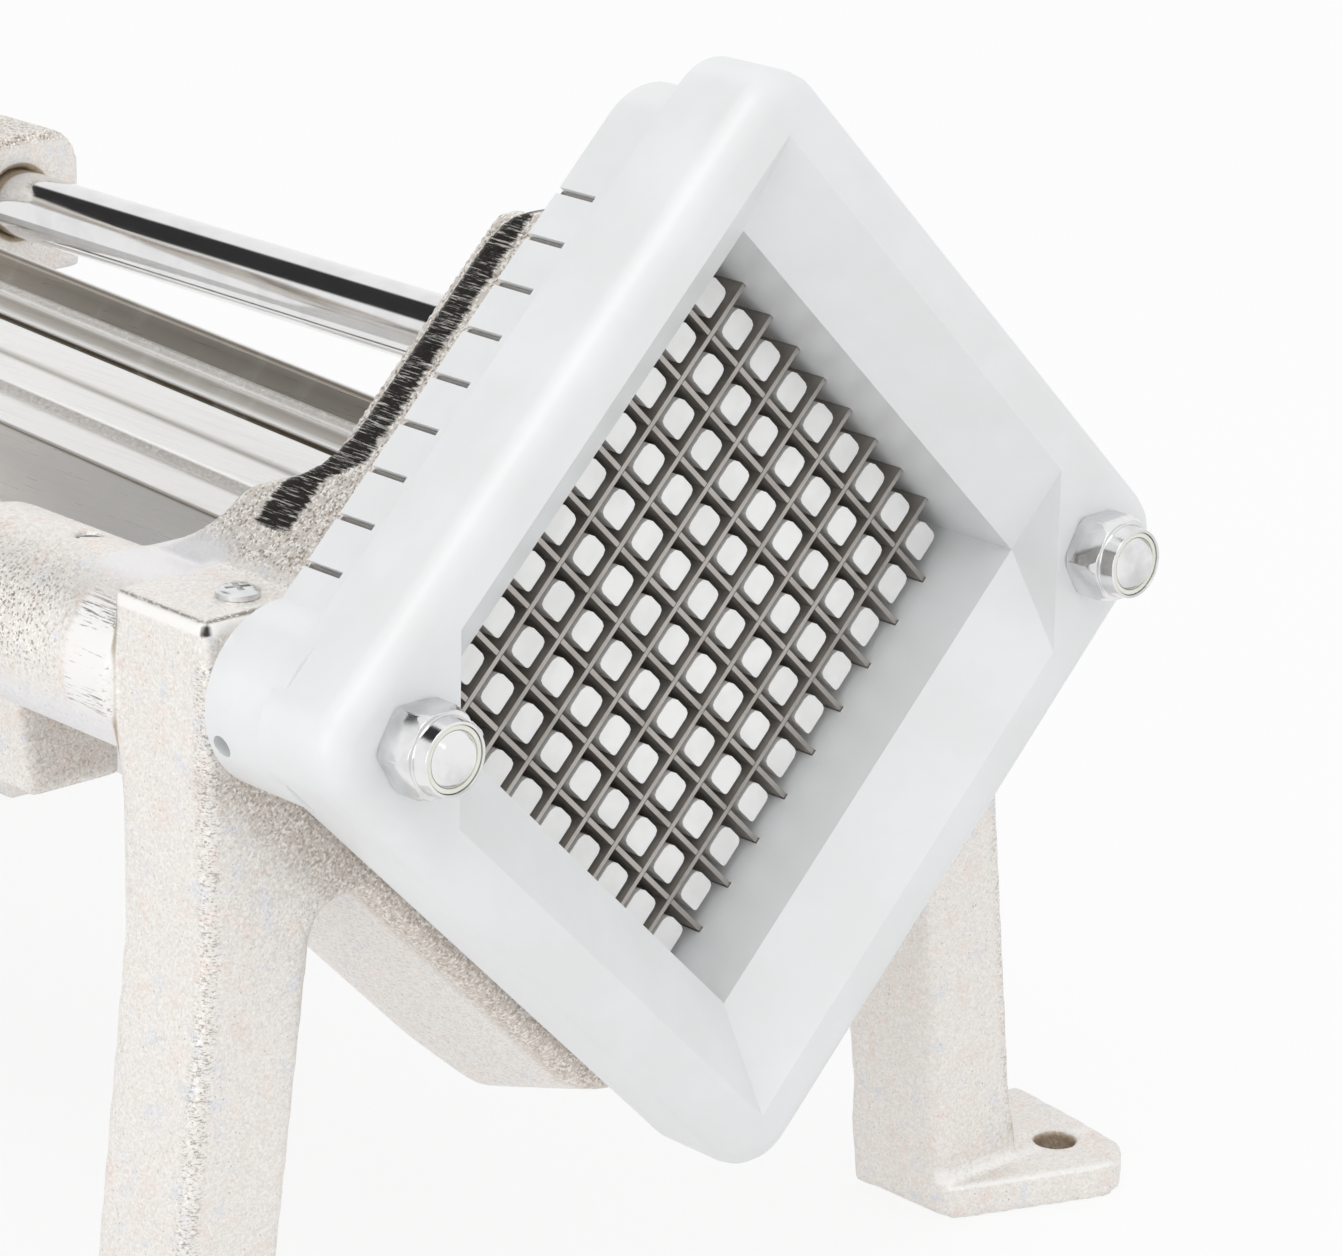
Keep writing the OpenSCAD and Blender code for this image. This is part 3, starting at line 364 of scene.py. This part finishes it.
tubeLook = {   # the tubes beside the blocks; mm
    "filed": seen(0.955, 0.95, 0.94), "creaseShade": seen(0.60, 0.51, 0.40), "strokes": (0.62, 0.68),
    "calm": 0.3, "strokeShare": 0.75, "creaseShare": 0.7, "rubbedShare": 0.75,
    "filedZone": {"raggedBack": (25, 37, 1.0), "up": (-8, 10.5, 2), "across": (84, 88)},
    "upperStrokes": (6.5, 11.5, 1.2), "upperShare": 0.12, "lowerStrokes": (-9, -4, 1.5), "lowerShare": 0.09,
    "creaseZone": {"back": (24.9, 25.8, 0.3), "inward": (-0.5, 0.9, 0.3), "up": (-20, 12, 2)},
    "rubbedZone": {"raggedBack": (24, 42, 2), "across": (90, 84), "up": (8, 18, 2)},
}


# filed bright beside the block, with more black strokes along the patch's upper and lower borders; painted
# shade in the crease against the block; rubbed smooth over the top, between shoulder and tube
def dressTubes(tree, places, colour):
    look = tubeLook
    filed = zone(tree, places, look["filedZone"])
    above = times(tree, between(tree, places["up"], *look["upperStrokes"]), look["upperShare"])
    below = times(tree, between(tree, places["up"], *look["lowerStrokes"]), look["lowerShare"])
    heavy = plus(tree, above, below)
    scratch = rise(tree, plus(tree, places["strokes"], heavy), *look["strokes"])
    tone = painted(tree, look["filed"], groundLook["dark"], scratch, look["strokeShare"])
    colour = mixed(tree, filed, colour, tone)
    creaseShade = zone(tree, places, look["creaseZone"])
    colour = painted(tree, colour, look["creaseShade"], creaseShade, look["creaseShare"])
    rubbed = zone(tree, places, look["rubbedZone"])
    return painted(tree, colour, castLook["smooth"], rubbed, look["rubbedShare"]), filed, rubbed


footLook = {   # mm
    "paintedHighlight": {"up": (-137.6, -134.6, 0.5), "back": (0.4, 3.2, 0.5), "ticks": (0.4, 0.46)},
    "toeStart": 82, "toeSlope": 0.385, "rim": {"up": (-138.3, -137.6, 0.2), "toe": (3, 1)},
    "hole": (117, 2.5), "bore": {"hole": (4.6, 4.0), "up": (-137, -138)},
    "highlightShare": 0.9, "boreShare": 0.8,
}


# painted highlight where a leg runs into its foot and along the front rim; painted shade, brown, inside the
# bolt hole
def dressFeet(tree, places, colour):
    look = footLook
    slant = times(tree, minus(tree, places["across"], look["toeStart"]), look["toeSlope"])
    places["toe"] = plus(tree, places["back"], slant)
    paintedHighlight = highest(tree, zone(tree, places, look["paintedHighlight"]), zone(tree, places, look["rim"]))
    colour = painted(tree, colour, blockLook["filed"], paintedHighlight, look["highlightShare"])
    holeX, holeY = look["hole"]
    places["hole"] = distance(tree, minus(tree, places["across"], holeX),
                              minus(tree, places["back"], holeY))
    return painted(tree, colour, tubeLook["creaseShade"], zone(tree, places, look["bore"]), look["boreShare"])


# the front casting's worked places, with painted reflection on the ground arms, painted shade in the crease
# and bolt hole and painted highlight at the feet; gives the colour, how flat the skin is and how metallic
def dressArms(tree, place, places, colour):
    colour, ground = groundArms(tree, place, places, colour)
    colour, bevel = dressBlocks(tree, place, places, colour)
    colour, filed, rubbed = dressTubes(tree, places, colour)
    colour = dressFeet(tree, places, colour)
    flat = highest(tree, filed, bevel, rubbed, times(tree, ground, groundLook["flat"]))
    metal = graded(tree, ground, castLook["metal"], groundLook["metal"])
    return colour, flat, minus(tree, metal, times(tree, filed, tubeLook["calm"]), True)


mouthLook = {   # mm
    "tone": seen(0.64, 0.55, 0.42), "share": 0.85, "axis": (80, 3.3),
    "ring": {"mouth": (9.3, 8.7), "back": (288, 292, 0.5)},
}


# painted reflection: a brown ring at the mouth of a rear rod boss, the golden-brown shine of its chamfer
def paintedMouthReflection(tree, places, colour):
    look = mouthLook
    rodX, rodZ = look["axis"]
    places["mouth"] = distance(tree, minus(tree, places["across"], rodX),
                               minus(tree, places["up"], rodZ))
    return painted(tree, colour, look["tone"], zone(tree, places, look["ring"]), look["share"])


frameLook = {
    "white": seen(0.915, 0.92, 0.925), "shade": seen(0.90, 0.906, 0.908),
    "metal": 0.05, "gloss": (0.29, 0.44),
    "clouds": (18 * mm, 3.0, 0.55), "cloudSpan": (0.35, 0.7),
    "fine": (0.9 * mm, 3.0, 0.65), "fineDepth": 0.06 * mm, "fineStrength": 0.35,
}


def satinFrame():
    look = frameLook
    made, tree, shader, place = finish("pale satin alloy", look["metal"])
    cloud = grain(tree, place, *look["clouds"])
    fine = grain(tree, place, *look["fine"])
    colour = mixed(tree, rise(tree, cloud, *look["cloudSpan"]), look["shade"], look["white"])
    wire(tree, shader, Base_Color=colour, Roughness=graded(tree, cloud, *look["gloss"]),
         Normal=bumped(tree, fine, look["fineDepth"], look["fineStrength"]))
    return made


troughLook = {
    "gloss": (0.20, 0.40), "pitch": 2.6, "middle": 200, "foot": -15, "lip": 45, "brown": (0, 0.07, 0.18),
    "streak": seen(0.66, 0.63, 0.60), "plume": seen(0.97, 0.96, 0.95),
    "streaks": (0.8 * mm, 4.0, 0.7), "streakStretch": (1, 0.02, 1), "streakSpan": (0.45, 0.72),
    "streakShare": 0.12, "streakDepth": 0.03 * mm, "streakStrength": 0.3,
    "plumes": (11 * mm, 3.0, 0.55), "plumeStretch": (0.5, 1, 0.5), "plumeSpan": (0.5, 0.75),
    "plumeShare": 0.2, "gritSize": 0.4 * mm, "gritTilt": 0.45,
    "rubs": ((31.4, 34, 0.3), (10.9, 13.2, 0.3)),   # rough lines along the wall, mm up it
    # each band: its start in mm up the wall from the trough's middle, its tone, painted reflection and
    # shade of ribs and grooves, and its share of bare metal
    "bands": (
        (-15.0, 0.90, 0.5), (4.2, 0.90, 0.5), (4.7, 0.48, 0.5), (5.3, 0.99, 0.06),
        (10.2, 0.99, 0.05), (10.8, 0.85, 0.35), (13.0, 0.83, 0.4), (13.6, 0.99, 0.05),
        (18.4, 0.99, 0.05), (19.2, 0.76, 0.3), (20.4, 0.99, 0.06), (25.9, 0.99, 0.05),
        (26.25, 0.30, 0.7), (26.9, 0.42, 0.6), (27.6, 0.97, 0.08), (28.8, 0.78, 0.25),
        (30.6, 0.70, 0.3), (31.8, 0.95, 0.2), (32.4, 0.82, 0.3), (33.4, 0.88, 0.4),
        (34.0, 0.70, 0.6), (38.0, 0.64, 0.65), (39.9, 0.70, 0.6), (40.3, 0.42, 0.6),
        (41.0, 0.96, 0.12), (45.0, 0.97, 0.10),
    ),
}


# a painted reflection and shade tone of the trough's bands, browner where it is darker
def paintedBandTone(tone):
    return seen(*(tone - share * (1 - tone) for share in troughLook["brown"]))


def drawnTrough():
    look = troughLook
    made, tree, shader, place = finish("drawn trough alloy")
    places = placesOn(tree, place)
    slope = math.radians(look["pitch"])    # lip and ribs fall towards the front
    risen = times(tree, minus(tree, places["back"], look["middle"]), math.sin(slope))
    reach = minus(tree, times(tree, places["upper"], math.cos(slope)), risen)
    share = add(tree, "ShaderNodeMapRange", {"Value": reach, "From Min": look["foot"],
                                             "From Max": look["lip"]}).outputs[0]
    height = look["lip"] - look["foot"]
    stops = [((start - look["foot"]) / height, tone, bare) for start, tone, bare in look["bands"]]
    colour = ramp(tree, share, *[(stop, paintedBandTone(tone)) for stop, tone, bare in stops])
    metal = ramp(tree, share, *[(stop, grey(bare)) for stop, tone, bare in stops])
    streak = grain(tree, turned(tree, place, look["streakStretch"]), *look["streaks"])
    plumes = grain(tree, turned(tree, place, look["plumeStretch"]), *look["plumes"])
    streaked = rise(tree, streak, *look["streakSpan"])
    colour = painted(tree, colour, look["streak"], streaked, look["streakShare"])
    plumed = rise(tree, plumes, *look["plumeSpan"])
    colour = painted(tree, colour, look["plume"], plumed, look["plumeShare"])
    sparkle = plus(tree, *[between(tree, reach, *rub) for rub in look["rubs"]])
    normal = bumped(tree, streak, look["streakDepth"], look["streakStrength"])
    grit = facets(tree, place, look["gritSize"], look["gritTilt"], normal)
    normal = mixedNormal(tree, sparkle, normal, grit)
    wire(tree, shader, Base_Color=colour, Normal=normal, Metallic=metal,
         Roughness=graded(tree, streak, *look["gloss"]))
    return made


metalLook = {
    "lines": (0.3 * mm, 3.0, 0.6), "lineStrength": 0.5, "glossSpread": 0.08,
    "clouds": (9 * mm, 3.0, 0.55), "cloudSpan": (0.4, 0.75), "cloudShare": 0.6,
}


# a turned or drawn metal: fine lines along one direction and a soft cloud in the colour
def bareMetal(name, colour, darker, metallic=1.0, gloss=0.2, along=(1, 0.03, 1), depth=0.02 * mm):
    look = metalLook
    made, tree, shader, place = finish(name, metallic)
    lines = grain(tree, turned(tree, place, along), *look["lines"])
    cloud = rise(tree, grain(tree, place, *look["clouds"]), *look["cloudSpan"])
    wire(tree, shader, Base_Color=painted(tree, colour, darker, cloud, look["cloudShare"]),
         Normal=bumped(tree, lines, depth, look["lineStrength"]),
         Roughness=graded(tree, lines, gloss - look["glossSpread"], gloss + look["glossSpread"]))
    return made


plasticLook = {
    "fineDepth": 0.04 * mm, "fineStrength": 0.4, "glossSpread": 0.1,
    "clouds": (10 * mm, 3.0, 0.55), "cloudSpan": (0.35, 0.7),
}


def moulded(name, colour, darker, gloss=0.45, grainSize=0.5 * mm):
    look = plasticLook
    made, tree, shader, place = finish(name)
    cloud = rise(tree, grain(tree, place, *look["clouds"]), *look["cloudSpan"])
    fine = grain(tree, place, grainSize)
    wire(tree, shader, Base_Color=mixed(tree, cloud, colour, darker),
         Normal=bumped(tree, fine, look["fineDepth"], look["fineStrength"]),
         Roughness=graded(tree, fine, gloss - look["glossSpread"], gloss + look["glossSpread"]))
    return made


evenly = (1, 1, 1)   # no drawn lines
finishes = {
    "casting": sandCast("plated sand casting"),
    "front_casting": sandCast("plated casting with ground arms", dressed=True),
    "frame_alloy": satinFrame(),
    "trough": drawnTrough(),
    "chrome_rod": bareMetal("polished rod", seen(0.90, 0.90, 0.90), seen(0.84, 0.84, 0.85), 1.0, 0.09,
                            depth=0.004 * mm),
    "blade_steel": bareMetal("ground blade steel", seen(0.72, 0.70, 0.68), seen(0.60, 0.575, 0.545),
                             0.7, 0.34),
    "bar_steel": bareMetal("bar steel", seen(0.76, 0.76, 0.76), seen(0.66, 0.65, 0.64), 1.0, 0.30),
    "zinc": bareMetal("bright zinc", seen(0.92, 0.92, 0.92), seen(0.70, 0.70, 0.71), 1.0, 0.10, evenly),
    "screw_zinc": bareMetal("dull zinc", seen(0.91, 0.915, 0.915), seen(0.76, 0.76, 0.77), 1.0, 0.24,
                            evenly),
    "dark_steel": bareMetal("oiled dark steel", seen(0.42, 0.42, 0.43), seen(0.32, 0.31, 0.31), 1.0, 0.32),
    "bronze": bareMetal("sintered bronze", seen(0.74, 0.60, 0.38), seen(0.60, 0.46, 0.28), 1.0, 0.34),
    "nylon": moulded("cream nylon", seen(0.95, 0.95, 0.915), seen(0.91, 0.91, 0.86), 0.4),
    "white_plastic": moulded("white moulded plastic", seen(0.97, 0.97, 0.965), seen(0.93, 0.93, 0.925),
                             0.38),
    "black_grip": moulded("black grip", seen(0.13, 0.13, 0.14), seen(0.08, 0.08, 0.09), 0.5, 0.8 * mm),
}
print("finishes made:", len(finishes))

bodyPieces = {   # the finish of each node, body by body
    "base": {
        "casting": ["front_frame", "rear_frame"], "frame_alloy": ["blade_frame"],
        "trough": ["trough_wall_left", "trough_wall_right"], "chrome_rod": ["guide_rods"],
        "blade_steel": ["long_blades", "cross_blades"], "nylon": ["lock_nut_rings"],
        "zinc": ["frame_studs", "lock_nuts", "fulcrum_washers", "fulcrum_nuts"],
        "screw_zinc": ["stud_lock_screws", "trough_screws"],
        "bar_steel": ["rear_rod_pins", "fulcrum_shaft", "fulcrum_spacers"],
        "dark_steel": ["rod_set_screws"],
    },
    "carriage": {
        "casting": ["crosshead"], "white_plastic": ["finger_block"], "bronze": ["slide_bushings"],
        "zinc": ["finger_screws", "bar_bolts"], "bar_steel": ["push_bars"],
    },
    "lever_arm": {
        "casting": ["lever"], "bar_steel": ["handle_bar", "roller_pins"], "bronze": ["hub_bushings"],
        "dark_steel": ["roller_clips"], "black_grip": ["handle_grip"],
    },
    "left_roller": {"bronze": ["roller_left"]},
    "right_roller": {"bronze": ["roller_right"]},
}
finishOf = {name: kind for kinds in bodyPieces.values() for kind, names in kinds.items() for name in names}

edgeRound = {   # radius of the broken edge on each node
    "blade_frame": 0.7 * mm, "lever": 0.8 * mm, "push_bars": 0.4 * mm, "finger_block": 0.5 * mm,
    "trough_wall_left": 0.25 * mm, "trough_wall_right": 0.25 * mm, "lock_nuts": 0.3 * mm,
    "guide_rods": 0.5 * mm, "frame_studs": 0.2 * mm, "stud_lock_screws": 0.15 * mm,
    "handle_grip": 0.6 * mm, "rear_rod_pins": 0.3 * mm, "fulcrum_shaft": 0.8 * mm,
    "fulcrum_nuts": 0.4 * mm, "fulcrum_washers": 0.3 * mm, "bar_bolts": 0.3 * mm,
    "slide_bushings": 0.2 * mm, "finger_screws": 0.3 * mm, "trough_screws": 0.1 * mm,
    "handle_bar": 0.6 * mm, "roller_pins": 0.3 * mm, "lock_nut_rings": 0.2 * mm,
}
smoothAngle = math.radians(32)
weldReach = 0.003 * mm    # the CAD's loose triangles are joined at corners this close


# shades a node's curved faces smooth and leaves edges sharper than the angle crisp
def softShading():
    group = bpy.data.node_groups.new("soft shading", "GeometryNodeTree")
    group.interface.new_socket("Geometry", in_out="INPUT", socket_type="NodeSocketGeometry")
    group.interface.new_socket("Geometry", in_out="OUTPUT", socket_type="NodeSocketGeometry")
    source = group.nodes.new("NodeGroupInput")
    target = group.nodes.new("NodeGroupOutput")
    angle = group.nodes.new("GeometryNodeInputMeshEdgeAngle")
    sharper = add(group, "FunctionNodeCompare", {0: angle.outputs[0], 1: smoothAngle},
                  operation="GREATER_THAN")
    faces = add(group, "GeometryNodeSetShadeSmooth", {0: source.outputs[0], 2: True}, domain="FACE")
    edges = add(group, "GeometryNodeSetShadeSmooth", {0: faces.outputs[0], 1: sharper.outputs[0], 2: False},
                domain="EDGE")
    group.links.new(edges.outputs[0], target.inputs[0])
    return group


shading = softShading()


def weld(piece):
    piece.modifiers.new("weld", "WELD").merge_threshold = weldReach


def breakEdges(piece, radius):
    weld(piece)
    piece.modifiers.new("soft shading", "NODES").node_group = shading
    if radius:
        bevel = piece.modifiers.new("broken edge", "BEVEL")
        bevel.width = radius
        bevel.segments = 2
        bevel.limit_method = "ANGLE"
        bevel.angle_limit = smoothAngle
        bevel.use_clamp_overlap = True
        bevel.harden_normals = True


def dressPiece(piece, kind):
    piece.data.materials.clear()
    piece.data.materials.append(finishes[kind])


for name, piece in nodes.items():
    dressPiece(piece, finishOf[name])
    breakEdges(piece, edgeRound.get(name, 0))
print("nodes finished")

castPieces = {   # voxel size and rounds of smoothing; soft counts the extra rounds where fillets are large
    "front_frame": {"body": "base", "finish": "front_casting", "voxel": 1.1 * mm, "rounds": 6, "soft": 30},
    "rear_frame": {"body": "base", "finish": "casting", "voxel": 1.3 * mm, "rounds": 6, "soft": 16},
    "crosshead": {"body": "carriage", "finish": "casting", "voxel": 1.2 * mm, "rounds": 5, "soft": 0},
}
roundLook = {   # where smoothing is strong or weak, in mm up from the blades' middle or back from the frame
    "softTop": (-14, -22), "softFoot": (-130, -124), "softFront": (0.5, 2.0), "arms": (22, 28),
    "feet": (-128, -134), "feetCalm": 0.3, "calmest": 0.8, "steps": 4, "strength": 0.5,
}


def applied(piece):
    graph = bpy.context.evaluated_depsgraph_get()
    mesh = bpy.data.meshes.new_from_object(piece.evaluated_get(graph))
    old = piece.data
    piece.modifiers.clear()
    piece.data = mesh
    bpy.data.meshes.remove(old)


# 0 at the first value and 1 at the second, straight between them
def portion(values, first, second):
    return np.clip((values - first) / (second - first), 0, 1)


# smoothing whose strength follows the weights, taken in even steps
def smoothed(piece, name, weights, rounds):
    group = piece.vertex_groups.new(name=name)
    for weight in np.unique(weights):
        group.add(np.nonzero(weights == weight)[0].tolist(), float(weight), "REPLACE")
    smooth = piece.modifiers.new(name, "SMOOTH")
    smooth.factor = roundLook["strength"]
    smooth.iterations = rounds
    smooth.vertex_group = name


# the node's skin taken again on a fine lattice, each corner then averaged with its neighbours so that
# sharp edges turn to fillets
def castPiece(node, size):
    look = roundLook
    piece = bpy.data.objects.new("cast_" + node, nodes[node].data.copy())
    bpy.context.scene.collection.objects.link(piece)
    weld(piece)
    lattice = piece.modifiers.new("lattice", "REMESH")
    lattice.mode = "VOXEL"
    lattice.voxel_size = size["voxel"]
    lattice.use_smooth_shade = True
    settle = piece.modifiers.new("settle", "SHRINKWRAP")
    settle.target = nodes[node]
    settle.wrap_method = "NEAREST_SURFACEPOINT"
    applied(piece)
    places = np.empty(len(piece.data.vertices) * 3)
    piece.data.vertices.foreach_get("co", places)
    back, up = (places[1::3] - axisY) / mm, (places[2::3] - axisZ) / mm
    steps = look["steps"]
    if size["soft"]:
        # below the leg blocks and clear of the feet, holes and the plane that the blade frame lies on
        soft = portion(up, *look["softTop"]) * portion(up, *look["softFoot"])
        soft = soft * portion(back, *look["softFront"])
        smoothed(piece, "fillets", np.floor(soft * steps + 0.5) / steps, size["soft"])
    # the arms were ground and the feet are thin, so their edges stay crisper than the others
    crisp = np.maximum(portion(up, *look["arms"]), portion(up, *look["feet"]) * look["feetCalm"])
    crisp = np.floor(crisp * steps + 0.5) / steps
    smoothed(piece, "cast edges", 1 - look["calmest"] * crisp, size["rounds"])
    applied(piece)
    piece.vertex_groups.clear()
    dressPiece(piece, size["finish"])
    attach(piece, size["body"])
    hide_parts(node)
    print(node, "recast,", len(piece.data.polygons), "faces")


for node, size in castPieces.items():
    castPiece(node, size)

camera = {   # place in mm and angles in degrees, as fitted to the picture
    "place": (-563.01, -764.23, 409.66), "azimuth": -43.62, "elevation": 18.26, "roll": 1.23,
    "focalPixels": 4990.0, "imageWidth": 1342.0, "sensor": 36.0, "near": 0.05, "far": 50,
}


def studioCamera():
    azimuth, elevation, roll = (math.radians(camera[key]) for key in ("azimuth", "elevation", "roll"))
    back = Vector((math.sin(azimuth) * math.cos(elevation), -math.cos(azimuth) * math.cos(elevation),
                   math.sin(elevation)))
    level = Vector((math.cos(azimuth), math.sin(azimuth), 0))
    upright = back.cross(level)
    right = level * math.cos(roll) + upright * math.sin(roll)
    up = back.cross(right)
    lens = bpy.data.cameras.new("camera")
    lens.sensor_fit = "HORIZONTAL"
    lens.sensor_width = camera["sensor"]
    lens.lens = camera["focalPixels"] * camera["sensor"] / camera["imageWidth"]
    lens.clip_start = camera["near"]
    lens.clip_end = camera["far"]
    eye = bpy.data.objects.new("camera", lens)
    bpy.context.scene.collection.objects.link(eye)
    spot = Vector(camera["place"]) * mm
    eye.matrix_world = Matrix.Translation(spot) @ Matrix((right, up, back)).transposed().to_4x4()
    bpy.context.scene.camera = eye


lamps = {
    "key lamp": {"place": (-0.9, -0.9, 1.9), "aim": (0, -0.1, 0.12), "size": 1.2, "power": 6},
    "low left lamp": {"place": (-1.5, -0.5, 0.35), "aim": (0, -0.1, 0.08), "size": 1.0, "power": 3},
}


def softLamp(name, look):
    lamp = bpy.data.lights.new(name, "AREA")
    lamp.shape = "SQUARE"
    lamp.size = look["size"]
    lamp.energy = look["power"]
    holder = bpy.data.objects.new(name, lamp)
    bpy.context.scene.collection.objects.link(holder)
    direction = Vector(look["aim"]) - Vector(look["place"])
    holder.matrix_world = (Matrix.Translation(Vector(look["place"]))
                           @ direction.to_track_quat("-Z", "Y").to_matrix().to_4x4())


# white all round; above and behind there is a dark gap between the soft boxes, which bright metal shows
skyLook = {
    "level": 0.89, "gapAim": (-0.27, 0.687, 0.675), "gapRadius": 22.5, "gapEdge": 3.0, "gapLevel": 0.035,
}


def studioWorld():
    world = bpy.data.worlds.new("studio")
    bpy.context.scene.world = world
    world.use_nodes = True
    tree = world.node_tree
    tree.nodes.clear()
    path = add(tree, "ShaderNodeLightPath")
    place = add(tree, "ShaderNodeTexCoord").outputs["Generated"]
    aim = Vector(skyLook["gapAim"]).normalized()
    along = add(tree, "ShaderNodeVectorMath", {0: place, 1: aim}, operation="DOT_PRODUCT").outputs["Value"]
    rim = math.cos(math.radians(skyLook["gapRadius"] + skyLook["gapEdge"]))
    core = math.cos(math.radians(skyLook["gapRadius"] - skyLook["gapEdge"]))
    gloss = mixed(tree, rise(tree, along, rim, core), grey(1.0), grey(skyLook["gapLevel"]))
    light = add(tree, "ShaderNodeBackground", {"Color": grey(1.0), "Strength": skyLook["level"]})
    shine = add(tree, "ShaderNodeBackground", {"Color": gloss, "Strength": 1.0})
    backdrop = add(tree, "ShaderNodeBackground", {"Color": grey(1.0), "Strength": 1.0})
    first = add(tree, "ShaderNodeMixShader", {0: path.outputs["Is Glossy Ray"], 1: light.outputs[0],
                                              2: shine.outputs[0]})
    pick = add(tree, "ShaderNodeMixShader", {0: path.outputs["Is Camera Ray"], 1: first.outputs[0],
                                             2: backdrop.outputs[0]})
    add(tree, "ShaderNodeOutputWorld", {"Surface": pick.outputs[0]})


floorLook = {"half": 3.0, "drop": 0.2 * mm, "tone": 0.9, "gloss": 0.9, "glow": 0.85}   # metres to each side


# pale floor that keeps the shadow, is nearly white to the camera and white in bright metal
def studioFloor():
    half = floorLook["half"]
    mesh = bpy.data.meshes.new("floor")
    corners = [(-half, -half, 0), (half, -half, 0), (half, half, 0), (-half, half, 0)]
    mesh.from_pydata(corners, [], [(0, 1, 2, 3)])
    floor = bpy.data.objects.new("floor", mesh)
    floor.location.z = -floorLook["drop"]
    bpy.context.scene.collection.objects.link(floor)
    made, tree, shader, place = finish("floor", 0.0, floorLook["gloss"])
    shader.inputs["Base Color"].default_value = grey(floorLook["tone"])
    path = add(tree, "ShaderNodeLightPath")
    white = add(tree, "ShaderNodeEmission", {"Color": grey(1.0), "Strength": 1.0})
    glow = highest(tree, times(tree, path.outputs["Is Camera Ray"], floorLook["glow"]),
                   path.outputs["Is Glossy Ray"])
    pick = add(tree, "ShaderNodeMixShader", {0: glow, 1: shader.outputs[0], 2: white.outputs[0]})
    tree.links.new(pick.outputs[0], tree.nodes["Material Output"].inputs["Surface"])
    floor.data.materials.append(made)


studioCamera()
studioWorld()
studioFloor()
for name, look in lamps.items():
    softLamp(name, look)
bpy.context.scene.view_settings.view_transform = "Standard"
print("studio set")
